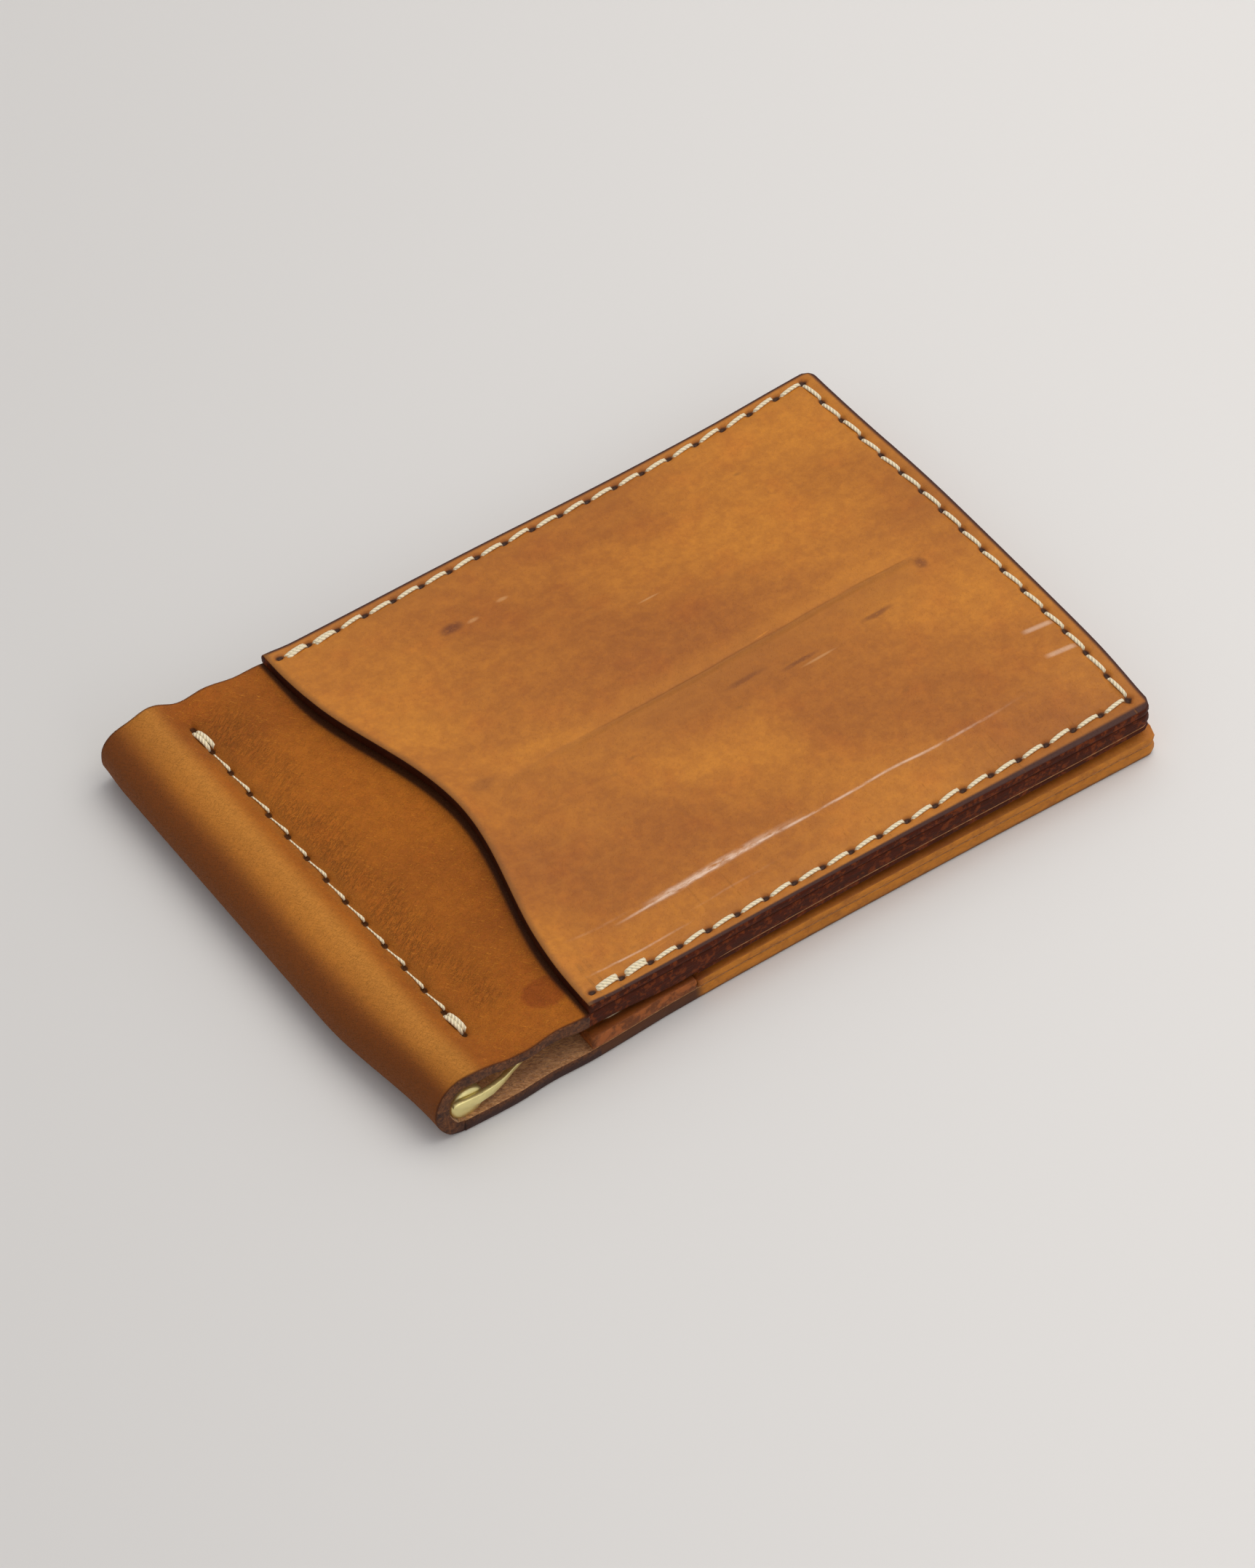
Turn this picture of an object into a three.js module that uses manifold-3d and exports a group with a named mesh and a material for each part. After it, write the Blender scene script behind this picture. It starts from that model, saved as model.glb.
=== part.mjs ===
// Leather card holder with a sprung brass note clip, lying closed on its rear leaf.
// Millimetres. +Z up, +X from the spine to the free edge, +Y to the back end of the spine.
import * as THREE from "three";
import { mergeVertices } from "three/addons/utils/BufferGeometryUtils.js";
import Module from "manifold-3d";

// ---- driving dimensions ----
const SPINE_X = -51.5;          // leftmost point of the spine sleeve
const FRONT_EDGE_X = 50.7;      // free edge of the front leaf
const REAR_EDGE_X = 51.5;       // free edge of the rear leaf
const FRONT_Y = [-33.5, 34.1];  // front leaf, near and far edges
const REAR_Y = [-34.1, 33.5];   // rear leaf, a little skewed against the front one
const SLEEVE_Y = [-33.9, 33.9];
const CORNER_R = 2.2;           // rounded corners at the free edge
const GAP = 0.3;                // clearance between pieces that touch

const FOLD_X = -38.9;           // line both covers fold on, just past the spine seam
const FOLD_GAP = 0.15;          // half of the slit that stands for the crease
const FOLD_TOP_Z = 6.75;        // outer face of the front cover at its fold

const REAR_COVER_Z = [0, 1.9];
const TAB_Z = [2.15, 3.1];          // side tabs of the T pocket
const T_BODY_Z = [2.15, 2.45];      // its body, skived thin under the second pocket
const SECOND_Z = [2.65, 3.1];       // rear second pocket, above the T pocket's body
const INNER_Z = [4.15, 4.8];        // front leaf, inner pocket
const COVER_Z = [5.0, FOLD_TOP_Z];  // front leaf, cover
const OUTER_Z = [6.95, 7.85];       // front leaf, outer pocket

const MOUTH_X = -28.7;          // pocket mouths face the spine
const SCOOP_DEPTH = 4.8;        // thumb scoop in the middle of the outer mouth
const SCOOP_HALF = 27;          // half its length along the mouth
const SECOND_X = -13.85;        // mouth of the second and the inner pocket
const RIM = 3.2;                // sewn border of the second pocket
const T_BODY_HALF = 27;         // half width of the T pocket's body
const T_BODY_END_X = 44;

const ARCH = 2.1;               // how far the free edge of the front leaf bows up
const PINCH = 2.75;             // how far the spine seam pulls the rear cover up
const PINCH_Y = [23, 29];       // full pull inside the first, none beyond the second

const PITCH = 4;                // stitch length
const SIDE_STITCHES = 19;
const END_STITCHES = 16;
const SEAM_INSET = 1.8;
const SPINE_SEAM_X = -41.05;
const SPINE_STITCHES = 14;
const THREAD = 0.7;             // thread width
const THREAD_GROOVE = 1.3;
const GROOVE_DEPTH = 0.5;

const BARREL_X = -46.85;        // axis of the clip's barrel
const BARREL_Z = 4.0;
const BARREL_R = 2.05;
const BARREL_BORE = 1.35;
const BARREL_HALF = 30.6;
const CAP_THICK = 1.1;
const PIN_R = 0.65;
const ARM_Y = 32.9;             // where the arms cross the barrel's ends
const ARM_W = 1.0;
const BAIL_END_X = 13.5;        // far edge of the clip's cross bar
const BAIL_BAR = 5.0;

const SIDES = 24;

// ---- colours ----
const HONEY = { color: 0xb9763f, roughness: 0.55, metalness: 0 };
const NAP = { color: 0xa86a38, roughness: 0.85, metalness: 0 };
const LINING = { color: 0xa5683a, roughness: 0.7, metalness: 0 };
const WAXED = { color: 0xe9dcc4, roughness: 0.6, metalness: 0 };
const BRASS = { color: 0xd8b25c, roughness: 0.28, metalness: 1 };

// ---- solids ----
const wasm = await Module();
wasm.setup();

function solid(geometry) {
  const g = geometry.clone();
  g.deleteAttribute("normal");
  g.deleteAttribute("uv");
  const m = mergeVertices(g, 1e-5);
  return new wasm.Manifold(new wasm.Mesh({
    numProp: 3,
    vertProperties: new Float32Array(m.attributes.position.array),
    triVerts: new Uint32Array(m.index.array),
  }));
}

function geometryOf(body) {
  const mesh = body.getMesh();
  const g = new THREE.BufferGeometry();
  g.setAttribute("position", new THREE.BufferAttribute(new Float32Array(mesh.vertProperties), 3));
  g.setIndex(new THREE.BufferAttribute(new Uint32Array(mesh.triVerts), 1));
  const flat = g.toNonIndexed();
  flat.computeVertexNormals();
  return flat;
}

// Moves every corner of a geometry by a function of its place.
function bend(geometry, move) {
  const p = geometry.attributes.position;
  for (let i = 0; i < p.count; i++) {
    const [x, y, z] = move(p.getX(i), p.getY(i), p.getZ(i));
    p.setXYZ(i, x, y, z);
  }
  return geometry;
}

function extrude(points, depth, steps = 1) {
  const shape = new THREE.Shape(points.map(([a, b]) => new THREE.Vector2(a, b)));
  return new THREE.ExtrudeGeometry(shape, { depth, steps, bevelEnabled: false });
}

// A plate: an outline seen from above, between two heights.
const plate = (outline, [low, high]) => extrude(outline, high - low).translate(0, 0, low);

// A bar along Y with a section drawn in X and Z.
const barY = (section, [near, far], steps = 1) =>
  extrude(section, far - near, steps).rotateX(Math.PI / 2).translate(0, far, 0);

// A bar along X with a section drawn in Y and Z.
const barX = (section, [left, right], steps) =>
  extrude(section, right - left, steps).rotateX(Math.PI / 2).rotateZ(Math.PI / 2).translate(left, 0, 0);

const ease = (t) => { const c = Math.min(Math.max(t, 0), 1); return c * c * (3 - 2 * c); };

// Height the front leaf gains over a flat one: nothing at the fold, most at the free edge.
function arch(x, y) {
  const along = (x - FOLD_X) / (FRONT_EDGE_X - FOLD_X);
  return ARCH * Math.max(along, 0) * (1 - Math.min(Math.abs(y - 0.3) / 34, 1) ** 3);
}

// Height the spine seam gives the rear cover on either side of the stitches.
function pinch(x, y) {
  const across = 1 - ease((Math.abs(y) - PINCH_Y[0]) / (PINCH_Y[1] - PINCH_Y[0]));
  const left = ease((x + 45.6) / 4.2);
  const right = 1 - ease((x + 38.6) / 8.4);
  return PINCH * across * left * right;
}

// ---- outlines ----
// A leaf from a straight left side to two rounded corners at the free edge.
function leafOutline(left, right, [near, far]) {
  const pts = [[left, near]];
  for (let i = 0; i <= 4; i++) {
    const a = -Math.PI / 2 + (i / 4) * (Math.PI / 2);
    pts.push([right - CORNER_R + CORNER_R * Math.cos(a), near + CORNER_R + CORNER_R * Math.sin(a)]);
  }
  for (let i = 0; i <= 4; i++) {
    const a = (i / 4) * (Math.PI / 2);
    pts.push([right - CORNER_R + CORNER_R * Math.cos(a), far - CORNER_R + CORNER_R * Math.sin(a)]);
  }
  pts.push([left, far]);
  return pts;
}

// The outer mouth: straight at both ends, scooped towards the free edge in the middle.
function scoopedOutline() {
  const pts = leafOutline(MOUTH_X, FRONT_EDGE_X, FRONT_Y);
  const n = 20;
  for (let i = 0; i <= n; i++) {
    const y = SCOOP_HALF * (1 - (2 * i) / n);
    pts.push([MOUTH_X + SCOOP_DEPTH * ease(1 - Math.abs(y) / SCOOP_HALF), y]);
  }
  return pts;
}

// The needle holes round three sides of a leaf, from mouth to mouth.
function seamOf(edgeX, [near, far]) {
  const x1 = edgeX - SEAM_INSET;
  return { x0: x1 - SIDE_STITCHES * PITCH, x1, y0: near + SEAM_INSET, y1: far - SEAM_INSET };
}

// The pressed channel the thread of such a seam lies in.
function channelOutline({ x0, x1, y0, y1 }) {
  const w = THREAD_GROOVE / 2;
  return [[x0 - w, y0 - w], [x1 + w, y0 - w], [x1 + w, y1 + w], [x0 - w, y1 + w],
    [x0 - w, y1 - w], [x1 - w, y1 - w], [x1 - w, y0 + w], [x0 - w, y0 + w]];
}

// A straight run of stitches: narrow and low at each hole, full between the holes.
// A positive sink lowers the top at the holes, a negative one raises the underside.
function stitchRun(along, start, count, across, [low, high], lift, sink) {
  const w = THREAD / 2;
  const section = [[-w, low], [w, low], [w, high], [-w, high]];
  const span = [start, start + count * PITCH];
  const g = (along === "x" ? barX : barY)(section, span, 2 * count);
  return solid(bend(g, (x, y, z) => {
    const place = along === "x" ? x : y;
    const atHole = Math.round((2 * (place - start)) / PITCH) % 2 === 0;
    const side = (along === "x" ? y : x) * (atHole ? 0.6 : 1) + across;
    const moved = atHole && z > (low + high) / 2 === sink > 0 ? z - sink : z;
    const [px, py] = along === "x" ? [x, side] : [side, y];
    return [px, py, moved + lift(px, py)];
  }));
}

// The thread round three sides, in one length.
function leafThread({ x0, x1, y0, y1 }, heights, lift, sink) {
  const near = stitchRun("x", x0, SIDE_STITCHES, y0, heights, lift, sink);
  const end = stitchRun("y", y0, END_STITCHES, x1, heights, lift, sink);
  const far = stitchRun("x", x0, SIDE_STITCHES, y1, heights, lift, sink);
  return near.add(end).add(far);
}

// ---- leather ----
// A plate of the front leaf, bowed with the leaf.
function bowedPlate(outline, [low, high]) {
  const ys = [];
  for (let i = 0; i <= 14; i++) ys.push(-38 + (76 * i) / 14);
  const section = ys.map((y) => [y, low]).concat(ys.slice().reverse().map((y) => [y, high]));
  const bar = bend(barX(section, [FOLD_X, FRONT_EDGE_X + 3], 6), (x, y, z) => [x, y, z + arch(x, y)]);
  return solid(bar).intersect(solid(plate(outline, [low - 2, high + 6])));
}

function rearCover() {
  const xs = [FOLD_X + FOLD_GAP, -37.4, -35.8, -34.2, -32.6, -31.2, -30, REAR_EDGE_X + 2];
  const [low, high] = REAR_COVER_Z;
  const section = xs.map((x) => [x, low]).concat(xs.slice().reverse().map((x) => [x, high]));
  const bar = bend(barY(section, [-36, 36], 24), (x, y, z) => [x, y, z + pinch(x, y)]);
  const trimmed = solid(bar).intersect(solid(plate(leafOutline(-60, REAR_EDGE_X, REAR_Y), [-1, 8])));
  return trimmed.subtract(solid(plate(channelOutline(seamOf(REAR_EDGE_X, REAR_Y)), [low - 1, low + GROOVE_DEPTH])));
}

function tPocket() {
  const tabs = plate([[MOUTH_X, REAR_Y[0]], [SECOND_X - GAP, REAR_Y[0]], [SECOND_X - GAP, REAR_Y[1]],
    [MOUTH_X, REAR_Y[1]]], TAB_Z);
  const body = plate([[MOUTH_X + 1, -T_BODY_HALF], [T_BODY_END_X, -T_BODY_HALF],
    [T_BODY_END_X, T_BODY_HALF], [MOUTH_X + 1, T_BODY_HALF]], T_BODY_Z);
  return solid(tabs).add(solid(body));
}

function secondPocket() {
  const outline = leafOutline(SECOND_X, REAR_EDGE_X, REAR_Y);
  const whole = solid(plate(outline, [TAB_Z[0], SECOND_Z[1]]));
  const room = plate([[SECOND_X - 1, REAR_Y[0] + RIM], [REAR_EDGE_X - RIM, REAR_Y[0] + RIM],
    [REAR_EDGE_X - RIM, REAR_Y[1] - RIM], [SECOND_X - 1, REAR_Y[1] - RIM]], [TAB_Z[0] - 1, SECOND_Z[0]]);
  return whole.subtract(solid(room));
}

function outerPocket() {
  const groove = bowedPlate(channelOutline(seamOf(FRONT_EDGE_X, FRONT_Y)), [OUTER_Z[1] - GROOVE_DEPTH, OUTER_Z[1] + 1]);
  return bowedPlate(scoopedOutline(), OUTER_Z).subtract(groove);
}

// The sleeve: the cover runs back under the barrel, round it and over the top to the seam.
function sleeve() {
  const outer = [];
  const inner = [];
  const floor = REAR_COVER_Z[1];
  const right = FOLD_X - FOLD_GAP;
  [right, -41.2, -42.6, -44, -45.4].forEach((x) => { outer.push([x, 0]); inner.push([x, floor]); });
  inner.push([-46.4, 1.7]);
  const n = 14;
  for (let i = 0; i <= n; i++) {
    const a = -Math.PI / 2 - (i / n) * Math.PI;
    outer.push([-45.7 + (-45.7 - SPINE_X) * Math.cos(a), 4.15 + 4.15 * Math.sin(a)]);
    if (i) inner.push([-46.4 + 2.9 * Math.cos(a), 4 + 2.3 * Math.sin(a)]);
  }
  outer.push([-43.6, 7.6], [-42.4, 7.0], [-41, FOLD_TOP_Z], [right, FOLD_TOP_Z]);
  inner.push([-44.4, 6.1], [-43.1, 5.55], [-42, 5.1], [-41, 4.85], [right, 4.85]);
  const section = outer.reverse().concat(inner);
  const low = (x, y, z) => z < floor + 0.01 && x > -46;
  const bar = barY(section, SLEEVE_Y, 24);
  return bend(bar, (x, y, z) => [x, y, z + (low(x, y, z) ? pinch(x, y) : 0)]);
}

function sewnSleeve() {
  const w = THREAD_GROOVE / 2;
  const end = (SPINE_STITCHES * PITCH) / 2 + w;
  const channel = plate([[SPINE_SEAM_X - w, -end], [SPINE_SEAM_X + w, -end], [SPINE_SEAM_X + w, end],
    [SPINE_SEAM_X - w, end]], [FOLD_TOP_Z - GROOVE_DEPTH, FOLD_TOP_Z + 2]);
  return solid(sleeve()).subtract(solid(channel));
}

// ---- brass ----
function barrel() {
  const profile = [[BARREL_BORE, -BARREL_HALF], [BARREL_R - 0.15, -BARREL_HALF], [BARREL_R, -BARREL_HALF + 0.2],
    [BARREL_R, BARREL_HALF - 0.2], [BARREL_R - 0.15, BARREL_HALF], [BARREL_BORE, BARREL_HALF],
    [BARREL_BORE, -BARREL_HALF]];
  const g = new THREE.LatheGeometry(profile.map(([r, h]) => new THREE.Vector2(r, h)), SIDES);
  return g.translate(BARREL_X, 0, BARREL_Z);
}

// A domed cap with a plug that sits in the barrel's bore and a hole for the arm's pin.
function cap(side) {
  const face = BARREL_HALF + GAP;
  const hole = PIN_R + 0.1;
  const profile = [[hole, face - 4], [BARREL_BORE - 0.2, face - 4], [BARREL_BORE - 0.2, face], [BARREL_R, face],
    [BARREL_R, face + 0.35], [BARREL_R * 0.82, face + 0.75], [BARREL_R * 0.5, face + CAP_THICK],
    [hole, face + CAP_THICK + 0.05], [hole, face - 4]];
  const g = new THREE.LatheGeometry(profile.map(([r, h]) => new THREE.Vector2(r, h)), SIDES);
  if (side < 0) g.rotateZ(Math.PI);
  return g.translate(BARREL_X, 0, BARREL_Z);
}

// Centre height and half height of the clip along its length.
function bailHeight(x) {
  const stops = [[-49.1, 3.7, 0.3], [-48.4, 3.5, 0.55], [-46.85, 3.4, 0.75], [-44.5, 3.45, 0.75], [-42, 3.85, 0.65],
    [-39.5, 4.15, 0.45], [-36, 4.0, 0.4], [-30, 3.65, 0.3], [60, 3.65, 0.3]];
  let i = 1;
  while (stops[i][0] < x) i++;
  const [a, b] = [stops[i - 1], stops[i]];
  const t = (x - a[0]) / (b[0] - a[0]);
  return [a[1] + (b[1] - a[1]) * t, a[2] + (b[2] - a[2]) * t];
}

// One strip: an arm from each end of the barrel, in past the seam, and a bar across.
function bail() {
  const arm = [[-49.1, ARM_Y], [-48.4, ARM_Y], [-46.85, ARM_Y], [-44.5, ARM_Y], [-42, ARM_Y - 0.2],
    [-39.5, ARM_Y - 0.9], [-36, ARM_Y - 2.2], [-30, ARM_Y - 2.9], [BAIL_END_X - 7, ARM_Y - 3]];
  const wide = (x) => ARM_W / 2 + 0.4 * ease((x + 40) / 10);
  const outer = arm.map(([x, y]) => [x, y + wide(x)]);
  outer.push([BAIL_END_X - 2.5, outer[8][1] - 0.8], [BAIL_END_X - 0.7, outer[8][1] - 2.4], [BAIL_END_X, outer[8][1] - 4.6]);
  const inner = arm.map(([x, y]) => [x, y - wide(x)]);
  inner[8][0] = BAIL_END_X - BAIL_BAR - 2;
  inner.push([BAIL_END_X - BAIL_BAR, inner[8][1] - 2]);
  const flip = (pts) => pts.map(([x, y]) => [x, -y]).reverse();
  const outline = flip(outer).reverse().concat(outer.slice().reverse(), inner, flip(inner));
  const strip = bend(plate(outline, [0, 1]), (x, y, z) => {
    const [mid, half] = bailHeight(x);
    return [x, y, mid + half * (2 * z - 1)];
  });
  const pin = (y) => solid(new THREE.CylinderGeometry(PIN_R, PIN_R, 3.4, 12).translate(BARREL_X, y, BARREL_Z));
  return solid(strip).add(pin(ARM_Y - 1.5)).add(pin(-ARM_Y + 1.5));
}

// ---- the object ----
const flat = () => 0;
const frontSeam = leafThread(seamOf(FRONT_EDGE_X, FRONT_Y), [OUTER_Z[1] - GROOVE_DEPTH + 0.2, OUTER_Z[1] + 0.3], arch, 0.3);
const rearSeam = leafThread(seamOf(REAR_EDGE_X, REAR_Y), [0.1, GROOVE_DEPTH - 0.15], flat, -0.15);
const spineSeam = stitchRun("y", (-SPINE_STITCHES * PITCH) / 2, SPINE_STITCHES, SPINE_SEAM_X,
  [FOLD_TOP_Z - GROOVE_DEPTH + 0.2, FOLD_TOP_Z + 0.3], flat, 0.3);

const holder = new THREE.Group();
holder.name = "card_holder";

function add(name, shape, look) {
  const geometry = shape instanceof THREE.BufferGeometry ? shape : geometryOf(shape);
  const mesh = new THREE.Mesh(geometry, new THREE.MeshStandardMaterial(look));
  mesh.name = name;
  holder.add(mesh);
}

add("rear_cover_panel", rearCover(), HONEY);
add("rear_t_pocket", tPocket(), LINING);
add("rear_second_pocket", secondPocket(), LINING);
add("rear_seam_thread", rearSeam, WAXED);

add("spine_sleeve", sewnSleeve(), NAP);
add("spine_seam_thread", spineSeam, WAXED);
add("clip_barrel", barrel(), BRASS);
add("clip_cap_front", cap(-1), BRASS);
add("clip_cap_rear", cap(1), BRASS);
add("clip_bail", bail(), BRASS);

add("front_inner_pocket", bowedPlate(leafOutline(SECOND_X, FRONT_EDGE_X, FRONT_Y), INNER_Z), LINING);
add("front_cover_panel", bowedPlate(leafOutline(FOLD_X + FOLD_GAP, FRONT_EDGE_X, FRONT_Y), COVER_Z), NAP);
add("front_outer_pocket", outerPocket(), HONEY);
add("front_seam_thread", frontSeam, WAXED);

export default holder;
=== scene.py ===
import math
import random

import bmesh
import bpy
from mathutils import Matrix, Vector


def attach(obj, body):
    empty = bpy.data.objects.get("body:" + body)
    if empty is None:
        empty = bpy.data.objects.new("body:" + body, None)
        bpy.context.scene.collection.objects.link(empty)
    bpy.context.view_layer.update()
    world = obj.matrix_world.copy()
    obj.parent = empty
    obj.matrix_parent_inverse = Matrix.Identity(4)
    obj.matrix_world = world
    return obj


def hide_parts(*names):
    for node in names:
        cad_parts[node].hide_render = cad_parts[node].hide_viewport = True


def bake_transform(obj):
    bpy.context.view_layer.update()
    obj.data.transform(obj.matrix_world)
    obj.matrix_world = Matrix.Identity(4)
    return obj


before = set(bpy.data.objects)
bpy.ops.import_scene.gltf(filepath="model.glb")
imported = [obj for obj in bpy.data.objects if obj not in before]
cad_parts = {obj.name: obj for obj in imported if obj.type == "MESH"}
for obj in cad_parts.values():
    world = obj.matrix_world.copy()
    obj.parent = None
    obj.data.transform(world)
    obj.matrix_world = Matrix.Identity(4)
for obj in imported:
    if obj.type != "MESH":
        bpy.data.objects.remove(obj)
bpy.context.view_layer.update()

bl_info = {
    "name": "Leather Card Holder",
    "version": (1, 0, 0),
    "blender": (4, 5, 0),
    "location": "View3D > Sidebar > Card Holder",
    "description": "A hand-sewn leather card holder with a sprung brass note clip",
    "category": "Add Mesh",
}

MM = 0.001

# Lengths below are in millimetres: +X from the spine to the free edge, +Z up.
FOLD_X = -38.9
MOUTH_X = -28.7
SECOND_X = -13.85
FRONT_EDGE_X = 50.9
REAR_EDGE_X = 51.5
FRONT_FAR_Y = 33.7
REAR_FAR_Y = 33.5
HALF = 33.9  # half the width that a sheet is drawn to before its edges are placed
OUTER_Z = 6.84  # underside of the outer pocket
SEAM_X = -41.05
SEAM_Y0 = -26.6
VALLEY_Z = 6.36  # the cover beside the sleeve, where the spine seam pulls it in
PITCH = 4.0
CORNER_R = 1.5
SCOOP, SCOOP_HALF, SCOOP_Y = 4.8, 27, -0.7  # depth, half width and middle of the thumb scoop
CLOSE, LOOSE = (0.25, 0.55, 0.95), (0.3, 0.7, 1.0)  # grid lines beside a needle hole
RAGGED = 0.05  # how uneven a cut edge is
UP = Vector((0, 0, 1))


def marks(start, count):
    """Needle holes in a row, one pitch apart."""
    return [start + PITCH * k for k in range(count)]


def seam_round(x0, x1, y0, y1):
    """A seam round three sides of a leaf, with the needle holes along each side."""
    return {"x0": x0, "x1": x1, "y0": y0, "y1": y1, "xs": marks(x0, 20), "ys": marks(y0, 17)}


FRONT_SEAM = seam_round(-27.1, 48.9, -31.7, 32.3)
REAR_SEAM = seam_round(-26.3, 49.7, -31.9, 32.1)

# The cover's outer face across the spine, from under the sleeve, round it and over the seam:
# as the stitches pull it in, and as it stands open at the front end.
SEWN = [(-46, 0), (-47.6, 0.08), (-49.6, 0.6), (-51.2, 2.3), (-51.5, 4.2), (-51, 6), (-49.3, 7.5),
        (-46.8, 8.25), (-44.9, 8.25), (-43.3, 7.6), (-42.1, 6.85), (-41.05, 6.4), (-39.8, 6.6),
        (-37.5, 6.75), (-33, 6.85), (-28.7, 6.9)]
OPEN = [(-46, 0), (-46.9, 0.1), (-48.1, 0.7), (-49.2, 2.3), (-49.6, 4.2), (-49.2, 6.1), (-48.1, 7.6),
        (-46.3, 8.55), (-44.7, 8.8), (-43.4, 8.7), (-42.1, 8.3), (-41.05, 7.9), (-39.8, 7.45),
        (-37.5, 7.4), (-33, 7.1), (-28.7, 6.9)]
SEAM_T = 11
LEAF_T = len(SEWN) - 1

# Lift along the front edge, sag along the back edge, and bow across the free edge.
FRONT_LIFT = [(-42, 0.0), (-38, 0.1), (-35, 0.5), (-32, 0.75), (-28.7, 0.8), (-15, 0.6), (0, 0.55),
              (25, 0.3), (51, 0)]
BACK_SAG = [(-42, 0.0), (-36, 0.2), (-29, 0.9), (0, 1.0), (20, 1.3), (35, 1.1), (45, 0.5), (51, 0.2)]
BOW = [(-34, 0), (-31.5, 0.2), (-28, 0.75), (-24, 1.25), (-18, 1.45), (-5, 1.5), (5, 1.45), (10, 1.3),
       (15, 1.0), (20, 0.6), (25, 0.3), (30, 0.1), (34, 0)]
# The rear leaf's near edge, which is not quite square to the spine.
REAR_NEAR = [(-46, -33.9), (-39, -34.1), (-34, -33.85), (-29, -34.0), (-25, -33.9), (-17, -33.6), (0, -33.6),
             (25, -34.0), (47, -34.6), (51.5, -34.7)]


def ease(t):
    t = min(max(t, 0.0), 1.0)
    return t * t * (3 - 2 * t)


def mix(a, b, t):
    return a + (b - a) * t


def through(points, x):
    """A smooth curve through (x, value) points, read at x."""
    if x <= points[0][0]:
        return points[0][1]
    if x >= points[-1][0]:
        return points[-1][1]
    i = 0
    while points[i + 1][0] < x:
        i += 1

    def slope(k):
        a, b = points[max(k - 1, 0)], points[min(k + 1, len(points) - 1)]
        return (b[1] - a[1]) / (b[0] - a[0])

    (xa, va), (xb, vb) = points[i], points[i + 1]
    h = xb - xa
    t = (x - xa) / h
    return (va * (1 + 2 * t) * (1 - t) ** 2 + slope(i) * h * t * (1 - t) ** 2
            + vb * t * t * (3 - 2 * t) + slope(i + 1) * h * t * t * (t - 1))


def along(points, t):
    """The place and the direction at step t of a curve through numbered points."""
    i = min(max(int(t), 0), len(points) - 2)
    f = t - i
    a, b, c, d = (Vector(points[min(max(i + k, 0), len(points) - 1)]) for k in (-1, 0, 1, 2))
    bend, twist = 2 * a - 5 * b + 4 * c - d, 3 * b - a - 3 * c + d
    place = 0.5 * (2 * b + (c - a) * f + bend * f * f + twist * f ** 3)
    return place, ((c - a) + 2 * bend * f + 3 * twist * f * f).normalized()


def near_lift(x, y):
    """How far the front leaf's near edge lifts off the rear leaf."""
    return through(FRONT_LIFT, x) * ease((-y - 12) / 21)


def leaf_rise(x, y):
    """How far the front leaf's outer face stands above a flat leaf."""
    reach = max((x - FOLD_X) / (FRONT_EDGE_X - FOLD_X), 0)
    return through(BOW, y) * reach + near_lift(x, y) - through(BACK_SAG, x) * ease((y - 6) / 27)


def inner_rise(x, y):
    """The same for the leaf's inner face, which the lift along the front edge leaves behind."""
    return leaf_rise(x, y) - near_lift(x, y) * (1 - ease((-x - 14) / 12) * 0.7)


def pull(x, y):
    """How far the spine seam lifts the rear cover on either side of the stitches."""
    across = 1 - ease((abs(y) - (27.3 if y < 0 else 25)) / (3.9 if y < 0 else 6))
    return 2.75 * across * ease((x + 45.6) / 4.2) * (1 - ease((x + 38.6) / 8.4))


def pit(dx, dy, turn=0.0):
    """Depth share of one needle hole at an offset from its middle."""
    c, s = math.cos(turn), math.sin(turn)
    a, b = (dx * c + dy * s) / 0.8, (dy * c - dx * s) / 0.48
    return max(0.0, 1 - a * a - b * b)


def seam_depth(seam, x, y):
    """Needle holes and the pressed channel between them."""
    on_x = seam["x0"] - 1.2 < x < seam["x1"] + 0.6
    on_y = seam["y0"] - 0.6 < y < seam["y1"] + 0.6
    depth = 0.0
    for inside, off, past in ((on_x, y - seam["y0"], x - seam["x0"]), (on_x, y - seam["y1"], x - seam["x0"]),
                              (on_y, x - seam["x1"], y - seam["y0"])):
        if inside and abs(off) < 0.9:
            near = (past + PITCH / 2) % PITCH - PITCH / 2
            depth = max(depth, 0.14 * (1 - ease(abs(off) / 0.9)), 0.62 * pit(near, off, 0.12))
    return depth


def spine_depth(x, y):
    """The same for the spine seam, whose channel is pulled down between the stitches."""
    d = x - SEAM_X
    if abs(d) > 1 or y < SEAM_Y0 - 1.2 or y > SEAM_Y0 + 57.2:
        return 0.0
    near = (y - SEAM_Y0 + PITCH / 2) % PITCH - PITCH / 2
    return max(0.1 * (1 - ease(abs(d))), 0.6 * pit(near, d))


def lines(start, end, step, holes=(), spread=CLOSE):
    """Grid lines from start to end, close together beside every needle hole."""
    wanted = {start, end}
    for h in holes:
        for s in (0.0,) + spread:
            wanted.update((h - s, h + s))
    wanted = sorted(m for m in wanted if start <= m <= end)
    out = [wanted[0]]
    for m in wanted[1:]:
        if m - out[-1] < 0.12:
            continue
        n = max(1, math.ceil((m - out[-1]) / step))
        a = out[-1]
        out += [a + (m - a) * k / n for k in range(1, n + 1)]
    out[-1] = end
    return out


def round_corner(x, y, edge_x, near, far):
    """Draws the two square corners of a leaf in to a quarter circle."""
    side = far if y > 0 else near
    radius = math.copysign(CORNER_R, side)
    a = (x - (edge_x - CORNER_R)) / CORNER_R
    b = (y - (side - radius)) / radius
    if a <= 0 or b <= 0:
        return x, y
    ra, rb = a * math.sqrt(1 - b * b / 2), b * math.sqrt(1 - a * a / 2)
    return edge_x + CORNER_R * (ra - 1), side + radius * (rb - 1)


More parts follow.
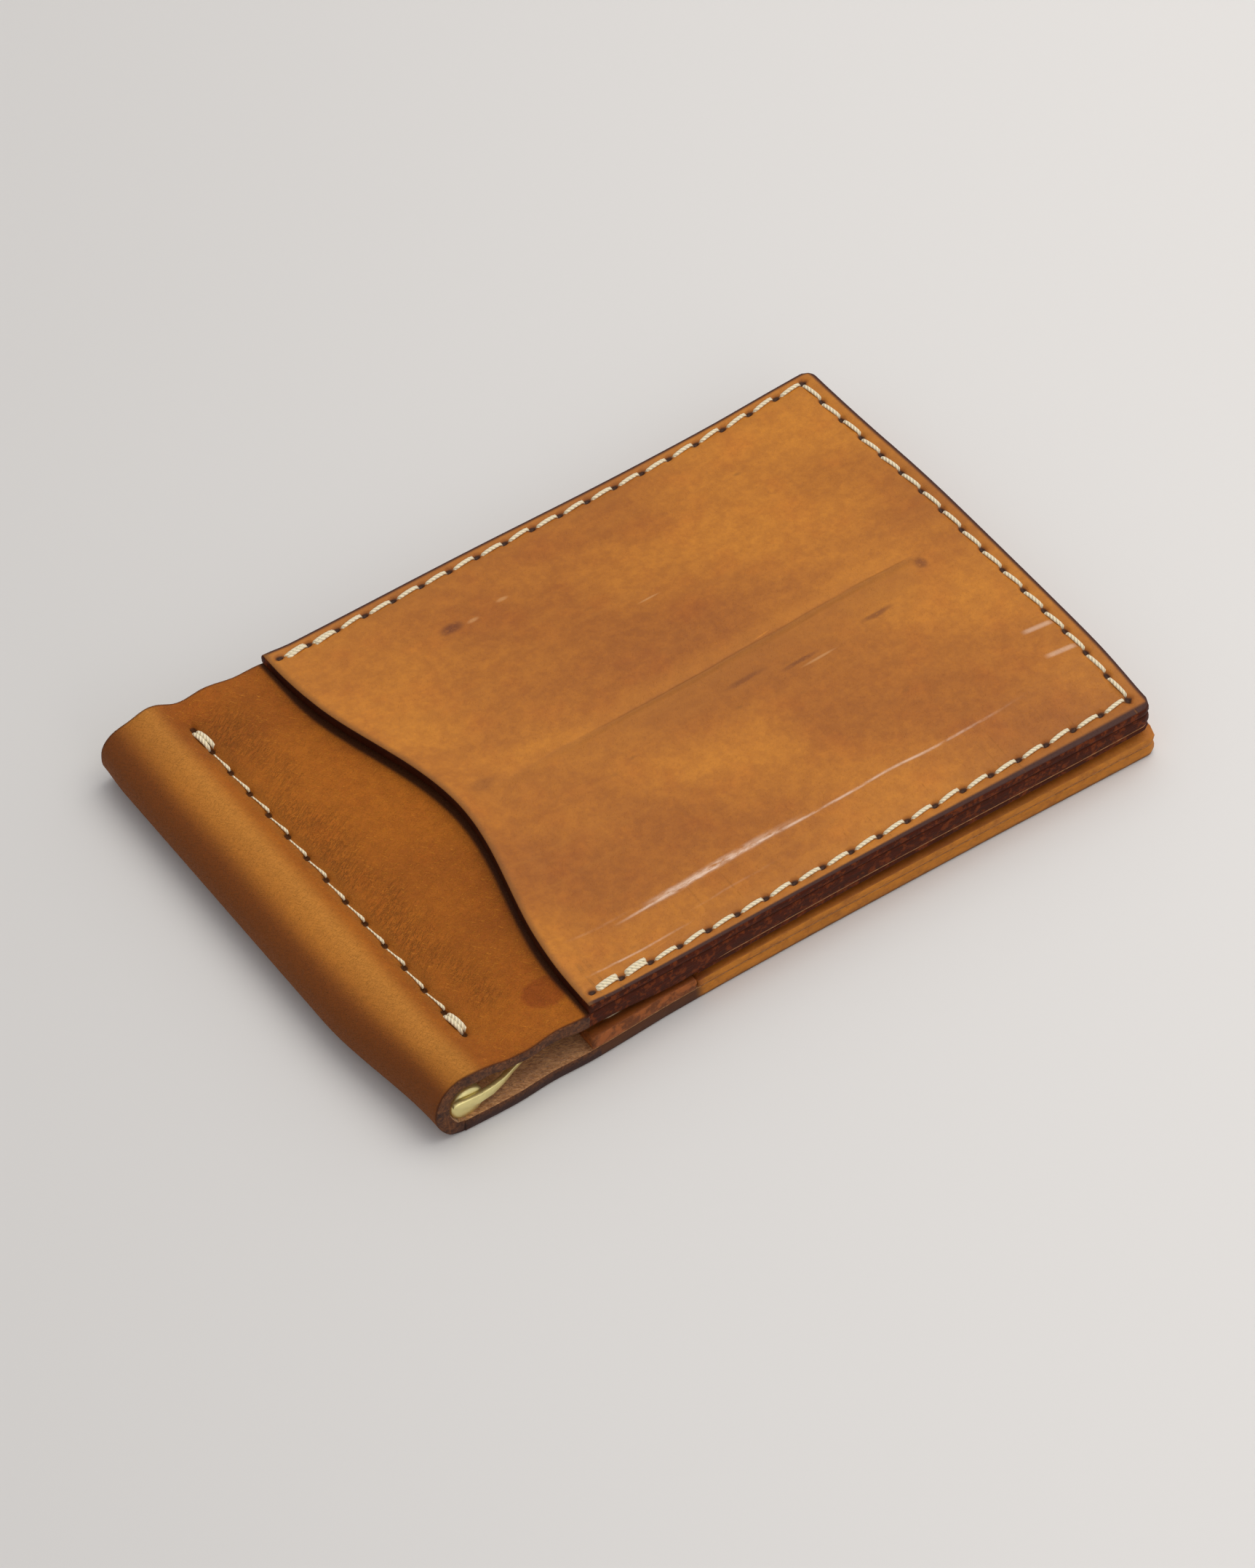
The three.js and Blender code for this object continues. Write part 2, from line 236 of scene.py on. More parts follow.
def edge_y(y, near, far, inner=32.6):
    """Moves the outermost lines of a sheet to the leaf's own edges."""
    if abs(y) <= inner:
        return y
    start = math.copysign(inner, y)
    return start + ((far if y > 0 else near) - start) * (abs(y) - inner) / (HALF - inner)


def front_outline(x, y):
    """A place on a sheet of the front leaf, whose near edge flares a little towards the free edge."""
    near = -33.4 - 0.7 * ease((x - 5) / 45)
    return round_corner(x, edge_y(y, near, FRONT_FAR_Y), FRONT_EDGE_X, near, FRONT_FAR_Y)


def rear_outline(x, y):
    """A place on a sheet of the rear leaf."""
    near = through(REAR_NEAR, x)
    return round_corner(x, edge_y(y, near, REAR_FAR_Y), REAR_EDGE_X, near, REAR_FAR_Y)


def sheet(us, vs, place, flat=lambda u, v: (u, v), edge_size=0.2, open_start=False, rows=2, seed=1):
    """A piece of leather: a grid of lines us by vs, given a thickness.
    place(u, v, top) is a corner's place on its upper or lower face, flat(u, v) its place on the hide."""
    bm = bmesh.new()
    bmesh.ops.create_grid(bm, x_segments=len(us) - 1, y_segments=len(vs) - 1, size=0.5)
    uv = bm.loops.layers.uv.new("UVMap")
    lu, lv, top = (bm.verts.layers.float.new(n) for n in ("u", "v", "top"))
    for v in bm.verts:
        v[lu] = us[round((v.co.x + 0.5) * (len(us) - 1))]
        v[lv] = vs[round((v.co.y + 0.5) * (len(vs) - 1))]
    under = bm.faces[:]
    made = bmesh.ops.extrude_face_region(bm, geom=under, use_keep_orig=True)
    for g in made["geom"]:
        if isinstance(g, bmesh.types.BMVert):
            g[top] = 1.0
    bmesh.ops.reverse_faces(bm, faces=under)
    walls = [e for e in bm.edges if abs(e.verts[0][top] - e.verts[1][top]) > 0.5]
    for v in bm.verts:
        v.co = place(v[lu], v[lv], v[top] > 0.5)
    for f in bm.faces:
        tops = sum(v[top] for v in f.verts)
        f.material_index = 0 if tops > len(f.verts) - 0.5 else 2 if tops < 0.5 else 1
        for loop in f.loops:
            a, b = flat(loop.vert[lu], loop.vert[lv])
            loop[uv].uv = (a * MM, b * MM)
    rims = [e for e in bm.edges if sorted({f.material_index for f in e.link_faces}) in ([0, 1], [1, 2])
            and not (open_start and e.verts[0][lu] == us[0] == e.verts[1][lu])]
    bmesh.ops.subdivide_edges(bm, edges=walls, cuts=rows, use_grid_fill=True)
    bmesh.ops.recalc_face_normals(bm, faces=bm.faces[:])
    bm.normal_update()
    rng = random.Random(seed)
    for v in bm.verts:
        if 0.05 < v[top] < 0.95 and not (open_start and v[lu] == us[0]):
            v.co += v.normal * (0.06 + rng.uniform(-RAGGED, RAGGED))
    bmesh.ops.bevel(bm, geom=rims, offset=edge_size, segments=2, profile=0.5, affect="EDGES", material=-1)
    return bm


def mesh_of(bm, name):
    mesh = bpy.data.meshes.new(name)
    bm.to_mesh(mesh)
    bm.free()
    return mesh


def piece(bm, name, looks):
    """Turns a mesh drawn in millimetres into an object in the row frame."""
    bmesh.ops.scale(bm, vec=(MM,) * 3, verts=bm.verts)
    for f in bm.faces:
        f.smooth = True
    mesh = mesh_of(bm, name)
    obj = bpy.data.objects.new(name, mesh)
    bpy.context.scene.collection.objects.link(obj)
    for finish in looks:
        mesh.materials.append(look(finish) if isinstance(finish, str) else finish)
    return obj


# ---- finishes ----
class Out:
    """A socket that takes part in Python arithmetic."""

    def __init__(self, look, socket):
        self.look, self.socket = look, socket

    def _do(self, operation, a, b=None):
        values = {0: a} if b is None else {0: a, 1: b}
        return self.look.node("ShaderNodeMath", {"operation": operation}, values)

    def __add__(self, other):
        return self._do("ADD", self, other)

    __radd__ = __add__

    def __sub__(self, other):
        return self._do("SUBTRACT", self, other)

    def __rsub__(self, other):
        return self._do("SUBTRACT", other, self)

    def __mul__(self, other):
        return self._do("MULTIPLY", self, other)

    __rmul__ = __mul__

    def __truediv__(self, other):
        return self._do("DIVIDE", self, other)

    def __abs__(self):
        return self._do("ABSOLUTE", self)

    def at_most(self, other):
        return self._do("MINIMUM", self, other)

    def sine(self):
        return self._do("SINE", self)

    def root(self):
        return self._do("SQRT", self)

    def wrapped(self, period):
        """Distance to the nearest whole number of periods."""
        return self._do("PINGPONG", self, period / 2)

    def step(self, low, high):
        """A smooth step from 0 at low to 1 at high; low may be the larger."""
        if low > high:
            return 1 - self.step(high, low)
        return self.look.node("ShaderNodeMapRange", {"interpolation_type": "SMOOTHSTEP"},
                              {0: self, 1: low, 2: high, 3: 0.0, 4: 1.0})


class Look:
    """A material, or the studio's sky, in the making."""

    def __init__(self, name, kind="materials"):
        self.made = getattr(bpy.data, kind).new(name)
        self.made.use_nodes = True
        self.tree = self.made.node_tree
        self.tree.nodes.clear()

    def node(self, kind, settings=None, inputs=None, out=0):
        n = self.tree.nodes.new(kind)
        for key, value in (settings or {}).items():
            setattr(n, key, value)
        for key, value in (inputs or {}).items():
            if isinstance(value, Out):
                self.tree.links.new(value.socket, n.inputs[key])
            else:
                n.inputs[key].default_value = value
        return Out(self, n.outputs[out]) if n.outputs else None

    def hide(self):
        """Place on the hide in millimetres, from the piece's own UV map."""
        return self.scaled(self.node("ShaderNodeUVMap", {"uv_map": "UVMap"}), 1000)

    def space(self):
        """Place in the row frame in millimetres."""
        return self.scaled(self.node("ShaderNodeTexCoord", out=3), 1000)

    def scaled(self, vector, by):
        by = by if isinstance(by, tuple) else (by, by, by)
        return self.node("ShaderNodeVectorMath", {"operation": "MULTIPLY"}, {0: vector, 1: by})

    def turned(self, vector, degrees, by):
        """The vector turned about Z, then stretched."""
        turned = self.node("ShaderNodeMapping", None, {0: vector, 2: (0, 0, math.radians(degrees))})
        return self.scaled(turned, by)

    def parts(self, vector):
        return [self.node("ShaderNodeSeparateXYZ", None, {0: vector}, out=k) for k in range(3)]

    def noise(self, vector, scale, detail=3.0, rough=0.55, warp=0.0):
        return self.node("ShaderNodeTexNoise", None, {"Vector": vector, "Scale": scale, "Detail": detail,
                                                      "Roughness": rough, "Distortion": warp})

    def cells(self, vector, scale):
        return self.node("ShaderNodeTexVoronoi", None, {"Vector": vector, "Scale": scale})

    def blend(self, factor, a, b, how="MIX"):
        return self.node("ShaderNodeMix", {"data_type": "RGBA", "blend_type": how},
                         {0: factor, 6: a, 7: b}, out=2)

    def stained(self, colour, r, g, b):
        return self.blend(1.0, colour, (r, g, b, 1), "MULTIPLY")

    def coats(self, colour, *coats):
        """Lays (mask, tone) coats over a colour, one after another."""
        for mask, tone in coats:
            colour = self.blend(mask, colour, tone)
        return colour

    def bump(self, height, distance, strength=1.0):
        return self.node("ShaderNodeBump", None,
                         {"Height": height, "Distance": distance * MM, "Strength": strength})

    def finish(self, **values):
        names = {key.replace("_", " "): value for key, value in values.items()}
        shader = self.node("ShaderNodeBsdfPrincipled", None, names)
        self.node("ShaderNodeOutputMaterial", None, {0: shader})
        return self.made


def srgb(r, g, b):
    """A colour given as eight-bit sRGB, as the linear colour that Blender wants."""
    def one(c):
        c /= 255
        return c / 12.92 if c <= 0.04045 else ((c + 0.055) / 1.055) ** 2.4
    return (one(r), one(g), one(b), 1.0)


def tinted(colour, r, g, b):
    """The colour with its red, green and blue scaled."""
    return (colour[0] * r, colour[1] * g, colour[2] * b, 1.0)


def darker(colour, share):
    return tinted(colour, share, share, share)


def away(a, b):
    """Distance from the middle of an oval, a and b being shares of its half widths."""
    return (a * a + b * b).root()


def near_holes(x, y, seam):
    """1 round the needle holes of a leaf's seam and 1 in them, each fading to 0."""
    def row(u, v, at, first):
        return away((u - (first - 40 * PITCH)).wrapped(PITCH) / 0.72, (v - at) / 0.46)

    inside = x.step(seam["x0"] - 1.6, seam["x0"] - 1.0)
    rows = row(x, y, seam["y0"], seam["x0"]).at_most(row(x, y, seam["y1"], seam["x0"]))
    near = rows.at_most(row(y, x, seam["x1"], seam["y0"]))
    return near.step(1.45, 0.8) * inside, near.step(0.95, 0.5) * inside


def past_mouth(x, y):
    """Distance past the scooped mouth of the outer pocket."""
    return x - MOUTH_X - (1 - abs(y - SCOOP_Y) / SCOOP_HALF).step(0, 1) * SCOOP


def hide_colour(k, p, honey, seed):
    """Vegetable-tanned hide: cloudy honey with faint darker and redder patches.
    Gives its colour, and the clouds, patches, fine grain and pores that bump and gloss share."""
    shifted = k.node("ShaderNodeVectorMath", {"operation": "ADD"}, {0: p, 1: (seed * 37.0, seed * 11.0, 0)})
    cloud = k.noise(k.turned(shifted, 24, (0.6, 1, 1)), 0.045, 4.0, 0.5, 0.3)
    patch = k.noise(shifted, 0.16, 3.0, 0.6)
    mottle = k.noise(shifted, 0.55, 5.0, 0.7)
    fine = k.noise(shifted, 1.7, 4.0, 0.65)
    pores = k.cells(shifted, 4.2).step(0.05, 0.35)
    colour = k.blend(cloud.step(0.35, 0.66), tinted(honey, 0.76, 0.69, 0.6), tinted(honey, 1.13, 1.2, 1.15))
    colour = k.blend(patch.step(0.45, 0.75) * 0.35, colour, k.stained(colour, 1.0, 0.8, 0.62))
    colour = k.blend(mottle.step(0.36, 0.66), k.stained(colour, 0.84, 0.8, 0.74), colour)
    colour = k.blend(fine.step(0.3, 0.75) * 0.5, k.stained(colour, 0.82, 0.78, 0.72), colour)
    return colour, cloud, patch, fine, pores


# Painted highlight lines along the ridges that the edges of cards inside raise: place, start, stop, half width
# and strength.
HIGHLIGHT_LINES = ((-25.0, -20, 40, 0.12, 0.75), (-24.75, -16, 10, 0.32, 0.95), (-29.7, -27.5, -8, 0.1, 0.6),
        (-28.3, -12, 6, 0.1, 0.14), (-24.2, -26, -14, 0.12, 0.35))
# Dark spots and pale nicks on the outer pocket: x, y, half length, half width and strength.
SPOTS = ((14.3, -3.7, 3.2, 0.45, 0.5), (21.1, -5.2, 3.0, 0.4, 0.6), (32.7, -4.6, 2.6, 0.5, 0.6),
         (41.7, -1.2, 0.9, 1.0, 0.6), (-8.3, 24.1, 1.8, 0.9, 0.75), (-19.5, 1.2, 2.0, 1.2, 0.35))
NICKS = ((23.2, -5.9, 2.6, 0.22), (-5.5, 23.7, 0.9, 0.35), (-0.8, 24.4, 0.9, 0.35), (12.8, 13.6, 1.6, 0.18))


def grain_look(honey, burnish):
    """Outer pocket: smooth, waxed grain side with a long crease, painted shade along and below it and a
    painted highlight above it, painted highlight lines, painted shade in the needle holes, and scuffs.
    """
    k = Look("honey_grain")
    p = k.hide()
    x, y, _ = k.parts(p)
    colour, cloud, patch, fine, pores = hide_colour(k, p, tinted(honey, 1, 1, 0.9), 1)
    wander = k.noise(k.scaled(p, (0.05, 0.4, 1)), 1.0, 2.0)
    along_crease = x.step(-26, 8) * x.step(44, 38)
    off = y - (0.1 + (wander - 0.5) * 1.5)
    # painted shade along the crease and in a band below it, and a painted highlight in a band above it
    fold = off.step(-1.0, -0.1) * off.step(0.4, 0.05) * along_crease
    below = off.step(-9, -0.6) * off.step(0.3, -0.5) * along_crease * (0.5 + patch)
    above = off.step(0.1, 0.7) * off.step(4.0, 1.0) * along_crease
    streaks = k.noise(k.turned(p, 1, (0.03, 0.5, 1)), 1.0, 3.0, 0.6).step(0.52, 0.75)
    spots = k.cells(k.turned(p, 5, (0.16, 0.34, 1)), 1.0).step(0.13, 0.04) * k.noise(p, 0.06).step(0.5, 0.62)
    scuffs = k.noise(k.turned(p, -3, (0.07, 0.9, 1)), 1.0, 2.0, 0.4).step(0.72, 0.78)
    scuffs = scuffs * k.noise(p, 0.09).step(0.48, 0.6)
    edge = (y + 33.4).at_most(33.7 - y).at_most(50.7 - x)
    # lips and hole carry painted shade: brown round each needle hole, near black inside it
    lips, hole = near_holes(x, y, FRONT_SEAM)
    colour = k.coats(
        colour, (fold * 0.55, darker(honey, 0.5)), (below * 0.42, darker(honey, 0.66)),
        (above * 0.22, tinted(honey, 1.15, 1.25, 1.3)), (streaks * 0.3, darker(honey, 0.75)),
        (spots * 0.5, darker(honey, 0.36)), (scuffs * 0.45, darker(honey, 1.6)),
        (edge.step(5.5, 0.3) * (0.5 + 0.8 * patch) * 0.34, darker(honey, 0.6)),
        (edge.step(0.55, 0.05), darker(burnish, 1.2)),
        (past_mouth(x, y).step(1.1, 0.1) * 0.75, darker(honey, 0.3)),
        (lips * 0.45, srgb(132, 70, 28)), (hole * 0.92, srgb(40, 17, 8)))
    waver = k.noise(k.scaled(p, (0.07, 0.02, 1)), 1.0, 1.0)
    breaks = k.noise(k.scaled(p, (0.3, 0.9, 1)), 1.0, 4.0, 0.7)
    # painted highlights: pinkish white lines along the card ridges
    painted_highlights = 0.0
    for at, start, stop, width, share in HIGHLIGHT_LINES:
        line = abs(y - at - (waver - 0.5) * 1.1).step(width * 2.4, width * 0.1)
        ends = x.step(start, start + 5) * x.step(stop, stop - 16)
        painted_highlights = line * ends * breaks.step(0.3, 0.62) * share + painted_highlights
    ridge = (y + 25.0 - (waver - 0.5) * 1.1).step(-0.8, 0.5) * x.step(-26, -18) * x.step(44, 30)
    # two short painted highlights near the free edge
    for at in (-17.4, -21.9):
        painted_highlights = abs(y - at + (x - 46) * 0.12).step(0.5, 0.1) * abs(x - 46.6).step(2.4, 1.2) * 0.5 + painted_highlights
    painted_highlights = painted_highlights.at_most(1.0)
    tight = k.noise(k.scaled(p, (0.9, 0.05, 1)), 1.0, 2.0, 0.6).step(0.62, 0.72)
    tight = tight * y.step(-22, -30) * breaks.step(0.35, 0.6)
    colour = k.blend(tight * 0.45, colour, darker(honey, 0.45))
    for cx, cy, long, wide, share in SPOTS:
        spot = away((x - cx) / long, (y - cy + (breaks - 0.5) * 0.8) / wide).step(1.2, 0.3)
        colour = k.blend(spot * fine.step(0.25, 0.5) * share, colour, srgb(104, 50, 16))
    for cx, cy, long, wide in NICKS:
        nick = away((x - cx) / long, (y - cy + (waver - 0.5)) / wide).step(1.2, 0.3)
        colour = k.blend(nick * 0.45, colour, srgb(214, 160, 104))
    colour = k.blend(painted_highlights * 0.72, colour, srgb(244, 212, 186))
    height = (fine * 0.35 + pores * 0.3 + cloud * 0.8 + patch * 0.7 - fold * 1.5 + above * 0.5 + painted_highlights * 0.8
              + ridge * 1.6 - tight * 0.6)
    gloss = (0.46 + 0.16 * fine + 0.1 * cloud - 0.2 * painted_highlights).at_most(0.9)
    return k.finish(Base_Color=colour, Roughness=gloss, Normal=k.bump(height, 0.13, 0.75),
                    Specular_IOR_Level=0.3, Coat_Weight=0.05, Coat_Roughness=0.35)


def nap_look(honey, burnish):
    """Cover: the same hide with its nap raised by handling, wrinkled beside the spine seam, with painted shade
    in the wrinkles, in the valley beside the seam, in its needle holes and on the loop's far side, and a
    painted shadow beside the outer pocket's mouth.
    """
    k = Look("honey_nap")
    p = k.hide()
    x, y, _ = k.parts(p)
    colour, cloud, patch, fine, pores = hide_colour(k, p, tinted(honey, 0.73, 0.58, 0.4), 3)
    fibres = k.noise(k.turned(p, 52, (1.1, 5.5, 1)), 1.0, 3.0, 0.7, 0.9)
    crossed = k.noise(k.turned(p, -20, (1.3, 6.0, 1)), 1.0, 3.0, 0.7, 0.9)
    nap = fibres.step(0.5, 0.72) + crossed.step(0.52, 0.74)
    past = x - SEAM_X
    row = abs(y - 1.4)
    beside = past.step(0.3, 1.6) * past.step(9, 2.5) * row.step(31, 26)
    wrinkle = k.noise(k.turned(p, -26, (0.5, 2.6, 1)), 1.0, 3.0, 0.6, 1.2)
    creases = abs(wrinkle - 0.5).step(0.05, 0.0) * beside * k.noise(p, 0.12).step(0.35, 0.6)
    sleeve = past.step(-1.5, -5.0) * past.step(-12, -3)
    rolled = k.blend(cloud, tinted(honey, 0.84, 0.96, 1.5), tinted(honey, 1.04, 1.2, 2.0))
    # painted shade in the creases, in the valley beside the spine seam and on the far side of the loop
    colour = k.coats(
        colour, ((nap * 0.42).at_most(0.65), darker(honey, 1.28)),
        (fibres.step(0.5, 0.3) * 0.3, darker(honey, 0.5)), (creases * 0.42, darker(honey, 0.34)),
        (abs(past).step(2.2, 0.3) * row.step(30, 27) * 0.4, darker(honey, 0.45)),
        (sleeve * 0.8, rolled), (past.step(-6.6, -10.0) * 0.92, tinted(honey, 0.3, 0.22, 0.3)))
    stain = away((x + 31.2) / 3, (y + 27.6) / 2.345) + (patch - 0.5) * 0.9
    in_row = y.step(SEAM_Y0 - 1.4, SEAM_Y0 - 0.9) * y.step(SEAM_Y0 + 57.4, SEAM_Y0 + 56.9)
    # painted shade in the spine seam's needle holes
    hole = away((y - (SEAM_Y0 - 40 * PITCH)).wrapped(PITCH) / 0.5, past / 0.34).step(1.2, 0.7) * in_row
    ends = (y + 33.9).at_most(33.9 - y)
    # painted shadow in a dark band just left of the outer pocket's mouth; the stain and the burnished ends are
    # the hide's own
    colour = k.coats(
        colour, (stain.step(1.1, 0.75) * 0.6, k.stained(colour, 0.62, 0.36, 0.3)),
        (past_mouth(x, y).step(-0.8, -0.2) * 0.9, srgb(50, 18, 8)),
        (ends.step(0.6, 0.05) * 0.85, darker(burnish, 1.3)), (hole * 0.85, srgb(52, 28, 14)))
    height = fine * 0.5 + pores * 0.35 + nap * 0.45 + cloud * 0.5 - creases * 0.7 + wrinkle * beside * 0.35
    return k.finish(Base_Color=colour, Roughness=(0.6 + 0.2 * fine - 0.05 * nap).at_most(0.95),
                    Normal=k.bump(height, 0.16, 0.8), Specular_IOR_Level=0.18,
                    Sheen_Weight=0.12, Sheen_Roughness=0.45, Sheen_Tint=srgb(245, 170, 90))


def lining_look(honey):
    """Pockets inside and the outside of the rear cover, marked by the cards they hold, with painted shade on
    the near tab under the front leaf.
    """
    k = Look("honey_lining")
    p = k.hide()
    x, y, _ = k.parts(p)
    colour, cloud, patch, fine, pores = hide_colour(k, p, tinted(honey, 0.8, 0.78, 0.95), 5)
    streaks = k.noise(k.turned(p, 4, (0.05, 0.7, 1)), 1.0, 3.0, 0.6).step(0.5, 0.75)
    card = abs(x - 8).step(44, 40) * abs(abs(y) - 27.3).step(1.3, 0.2)
    # painted shade on the near tab, where the front leaf overhangs it
    tab = (y + 33.9).step(3.5, 0.5) * x.step(-10, -14)
    colour = k.coats(
        colour, (streaks * 0.35, darker(honey, 0.62)), (card * 0.3, darker(honey, 0.6)),
        (tab * 0.75, k.blend(fine, srgb(76, 30, 12), srgb(140, 66, 22))))
    height = fine * 0.45 + pores * 0.35 + cloud * 0.8 + card * 0.8
    return k.finish(Base_Color=colour, Roughness=(0.52 + 0.2 * fine).at_most(0.9),
                    Normal=k.bump(height, 0.13, 0.75), Specular_IOR_Level=0.28)


def edge_look(burnish):
    """Cut edges rubbed to a dark polish."""
    k = Look("burnished_edge")
    q = k.space()
    x, y, _ = k.parts(q)
    fibres = k.noise(k.scaled(q, (0.35, 0.35, 3.2)), 1.0, 4.0, 0.65, 0.4)
    worn = k.noise(q, 0.9, 3.0, 0.7)
    flecks = k.cells(q, 3.2).step(0.16, 0.05) * worn.step(0.45, 0.6)
    colour = k.coats(
        burnish, (fibres.step(0.35, 0.7), tinted(burnish, 1.75, 1.3, 1.0)),
        (worn.step(0.48, 0.64) * 0.7, srgb(122, 56, 20)), (flecks * 0.6, srgb(150, 84, 40)),
        (x.step(-14, -20) * abs(y).step(33, 31) * 0.9, srgb(44, 15, 6)))
    return k.finish(Base_Color=colour, Roughness=0.42 + 0.22 * worn + 0.1 * fibres,
                    Normal=k.bump(fibres * 0.6 + worn * 0.9, 0.16, 0.8), Specular_IOR_Level=0.1)


def cut_look(honey, burnish):
    """Cut edges left tan, redder on the near tab, and darker where they meet the table: burnish with a painted
    contact shadow.
    """
    k = Look("cut_edge")
    q = k.space()
    x, _, z = k.parts(q)
    fibres = k.noise(k.scaled(q, (0.7, 0.7, 1.5)), 1.0, 5.0, 0.7, 0.5)
    worn = k.noise(q, 0.55, 4.0, 0.7)
    tan = darker(honey, 0.95)
    tab, low = x.step(-12.6, -14.4), (z + worn * 0.5).step(2.5, 2.0)
    colour = k.coats(
        darker(tan, 0.72), (fibres.step(0.3, 0.72), darker(tan, 0.98)),
        (worn.step(0.48, 0.68) * 0.45, srgb(128, 70, 30)), (tab * low * 0.9, srgb(58, 29, 22)),
        (tab * (1 - low) * 0.85, k.blend(worn.step(0.42, 0.6), srgb(84, 34, 16), srgb(156, 82, 36))),
        # darker at the bottom: burnish and a painted contact shadow
        ((z + worn * 0.7).step(1.1, 0.35) * 0.9, burnish))
    return k.finish(Base_Color=colour, Roughness=0.5 + 0.25 * fibres,
                    Normal=k.bump(fibres + worn * 0.7, 0.1, 0.7), Specular_IOR_Level=0.25)


def fibre_look():
    """The spine's end: open fibres with a dark line outside."""
    k = Look("fibrous_edge")
    q = k.space()
    x, _, z = k.parts(q)
    fibres = k.noise(q, 2.4, 5.0, 0.75, 0.6)
    worn = k.noise(q, 0.7, 3.0, 0.7)
    colour = k.coats(
        srgb(62, 32, 18), (fibres.step(0.32, 0.7), srgb(132, 80, 44)),
        (worn.step(0.46, 0.66) * 0.75, srgb(52, 26, 18)),
        ((z + worn * 1.4).step(2.6, 1.4) * x.step(-49.5, -45) * 0.9, srgb(58, 34, 30)))
    return k.finish(Base_Color=colour, Roughness=0.55 + 0.25 * fibres,
                    Normal=k.bump(fibres * 1.2 + worn, 0.22, 0.9), Specular_IOR_Level=0.3)


def flesh_look():
    """Flesh side: short tan fibres."""
    k = Look("flesh_side")
    p = k.hide()
    fibres = k.noise(k.turned(p, 30, (1.4, 4.0, 1)), 1.0, 4.0, 0.75, 1.0)
    speck = k.noise(p, 3.2, 3.0, 0.7)
    worn = k.noise(p, 0.3, 3.0, 0.6)
    colour = k.coats(
        srgb(146, 92, 50), (fibres.step(0.3, 0.72), srgb(222, 164, 106)),
        (speck.step(0.56, 0.72) * 0.6, srgb(66, 38, 22)), (worn.step(0.5, 0.7) * 0.4, srgb(140, 88, 48)))
    return k.finish(Base_Color=colour, Roughness=0.86, Normal=k.bump(fibres + speck, 0.2, 0.9),
                    Specular_IOR_Level=0.2, Sheen_Weight=0.3, Sheen_Roughness=0.5)


def thread_look(cream):
    """Waxed linen thread: two plies laid over each other."""
    k = Look("waxed_thread")
    p = k.hide()
    x, y, _ = k.parts(p)
    ply = ((x + y * 1.15) * (2 * math.pi / 0.62)).sine()
    hair = k.noise(k.turned(p, 45, (2.0, 9.0, 1)), 1.0, 3.0, 0.7)
    colour = k.coats(darker(cream, 0.66), (ply.step(-1.0, 0.1), cream),
                     (hair.step(0.42, 0.7) * 0.35, darker(cream, 0.7)))
    return k.finish(Base_Color=colour, Roughness=0.5 + 0.2 * hair,
                    Normal=k.bump(ply * 0.8 + hair * 0.4, 0.07, 0.8), Specular_IOR_Level=0.4,
                    Sheen_Weight=0.15, Sheen_Roughness=0.4)


def brass_look(brass):
    """Brass, brushed along its length and slightly dulled."""
    k = Look("pale_brass")
    q = k.space()
    brushed = k.noise(k.scaled(q, (3.0, 0.25, 6.0)), 1.0, 3.0, 0.6)
    dull = k.noise(q, 0.5, 3.0, 0.6)
    colour = k.blend(dull.step(0.4, 0.75) * 0.45, brass, darker(brass, 0.72))
    return k.finish(Base_Color=colour, Metallic=1.0, Roughness=0.34 + 0.12 * brushed + 0.12 * dull,
                    Normal=k.bump(brushed, 0.02, 0.5))


LOOKS = {}


def look(name):
    """A finish by its short name; all are made the first time one is asked for."""
    if not LOOKS:
        kit = bpy.context.scene.card_holder_colours
        honey, burnish = darker(kit.honey, 1), darker(kit.burnish, 1)
        LOOKS.update(grain=grain_look(honey, burnish), nap=nap_look(honey, burnish), lining=lining_look(honey),
                     edge=edge_look(burnish), cut=cut_look(honey, burnish), fibre=fibre_look(),
                     flesh=flesh_look(), thread=thread_look(darker(kit.thread, 1)),
                     brass=brass_look(darker(kit.brass, 1)))
    return LOOKS[name]


# ---- the cover ----
def cover_outline(t, y):
    """The cover's outer face at step t across the spine, with its outward direction."""
    front = ease((-(y - 1.4) - 27.2) / 5.2)
    back = ease((y - 1.4 - 27.4) / 5) * 0.55
    w = front + back
    a, da = along(SEWN, t)
    b, db = along(OPEN, t)
    slow = ease((-y - 13) / 20)
    w = mix(w, max(slow, back * 0.25), ease((-45.8 - a.x) / 3))
    place, turn = a.lerp(b, w), da.lerp(db, w).normalized()
    return place, Vector((-turn.y, turn.x))


def hide_lengths():
    """Distance on the hide from the seam, at every tenth of a step."""
    steps = [k / 10 for k in range(LEAF_T * 10 + 1)]
    total, table, last = 0.0, [], along(SEWN, 0)[0]
    for t in steps:
        place = along(SEWN, t)[0]
        total += (place - last).length
        last = place
        table.append((t, total))
    at_seam = through(table, SEAM_T)
    return [(t, d - at_seam + SEAM_X) for t, d in table]


HIDE = hide_lengths()


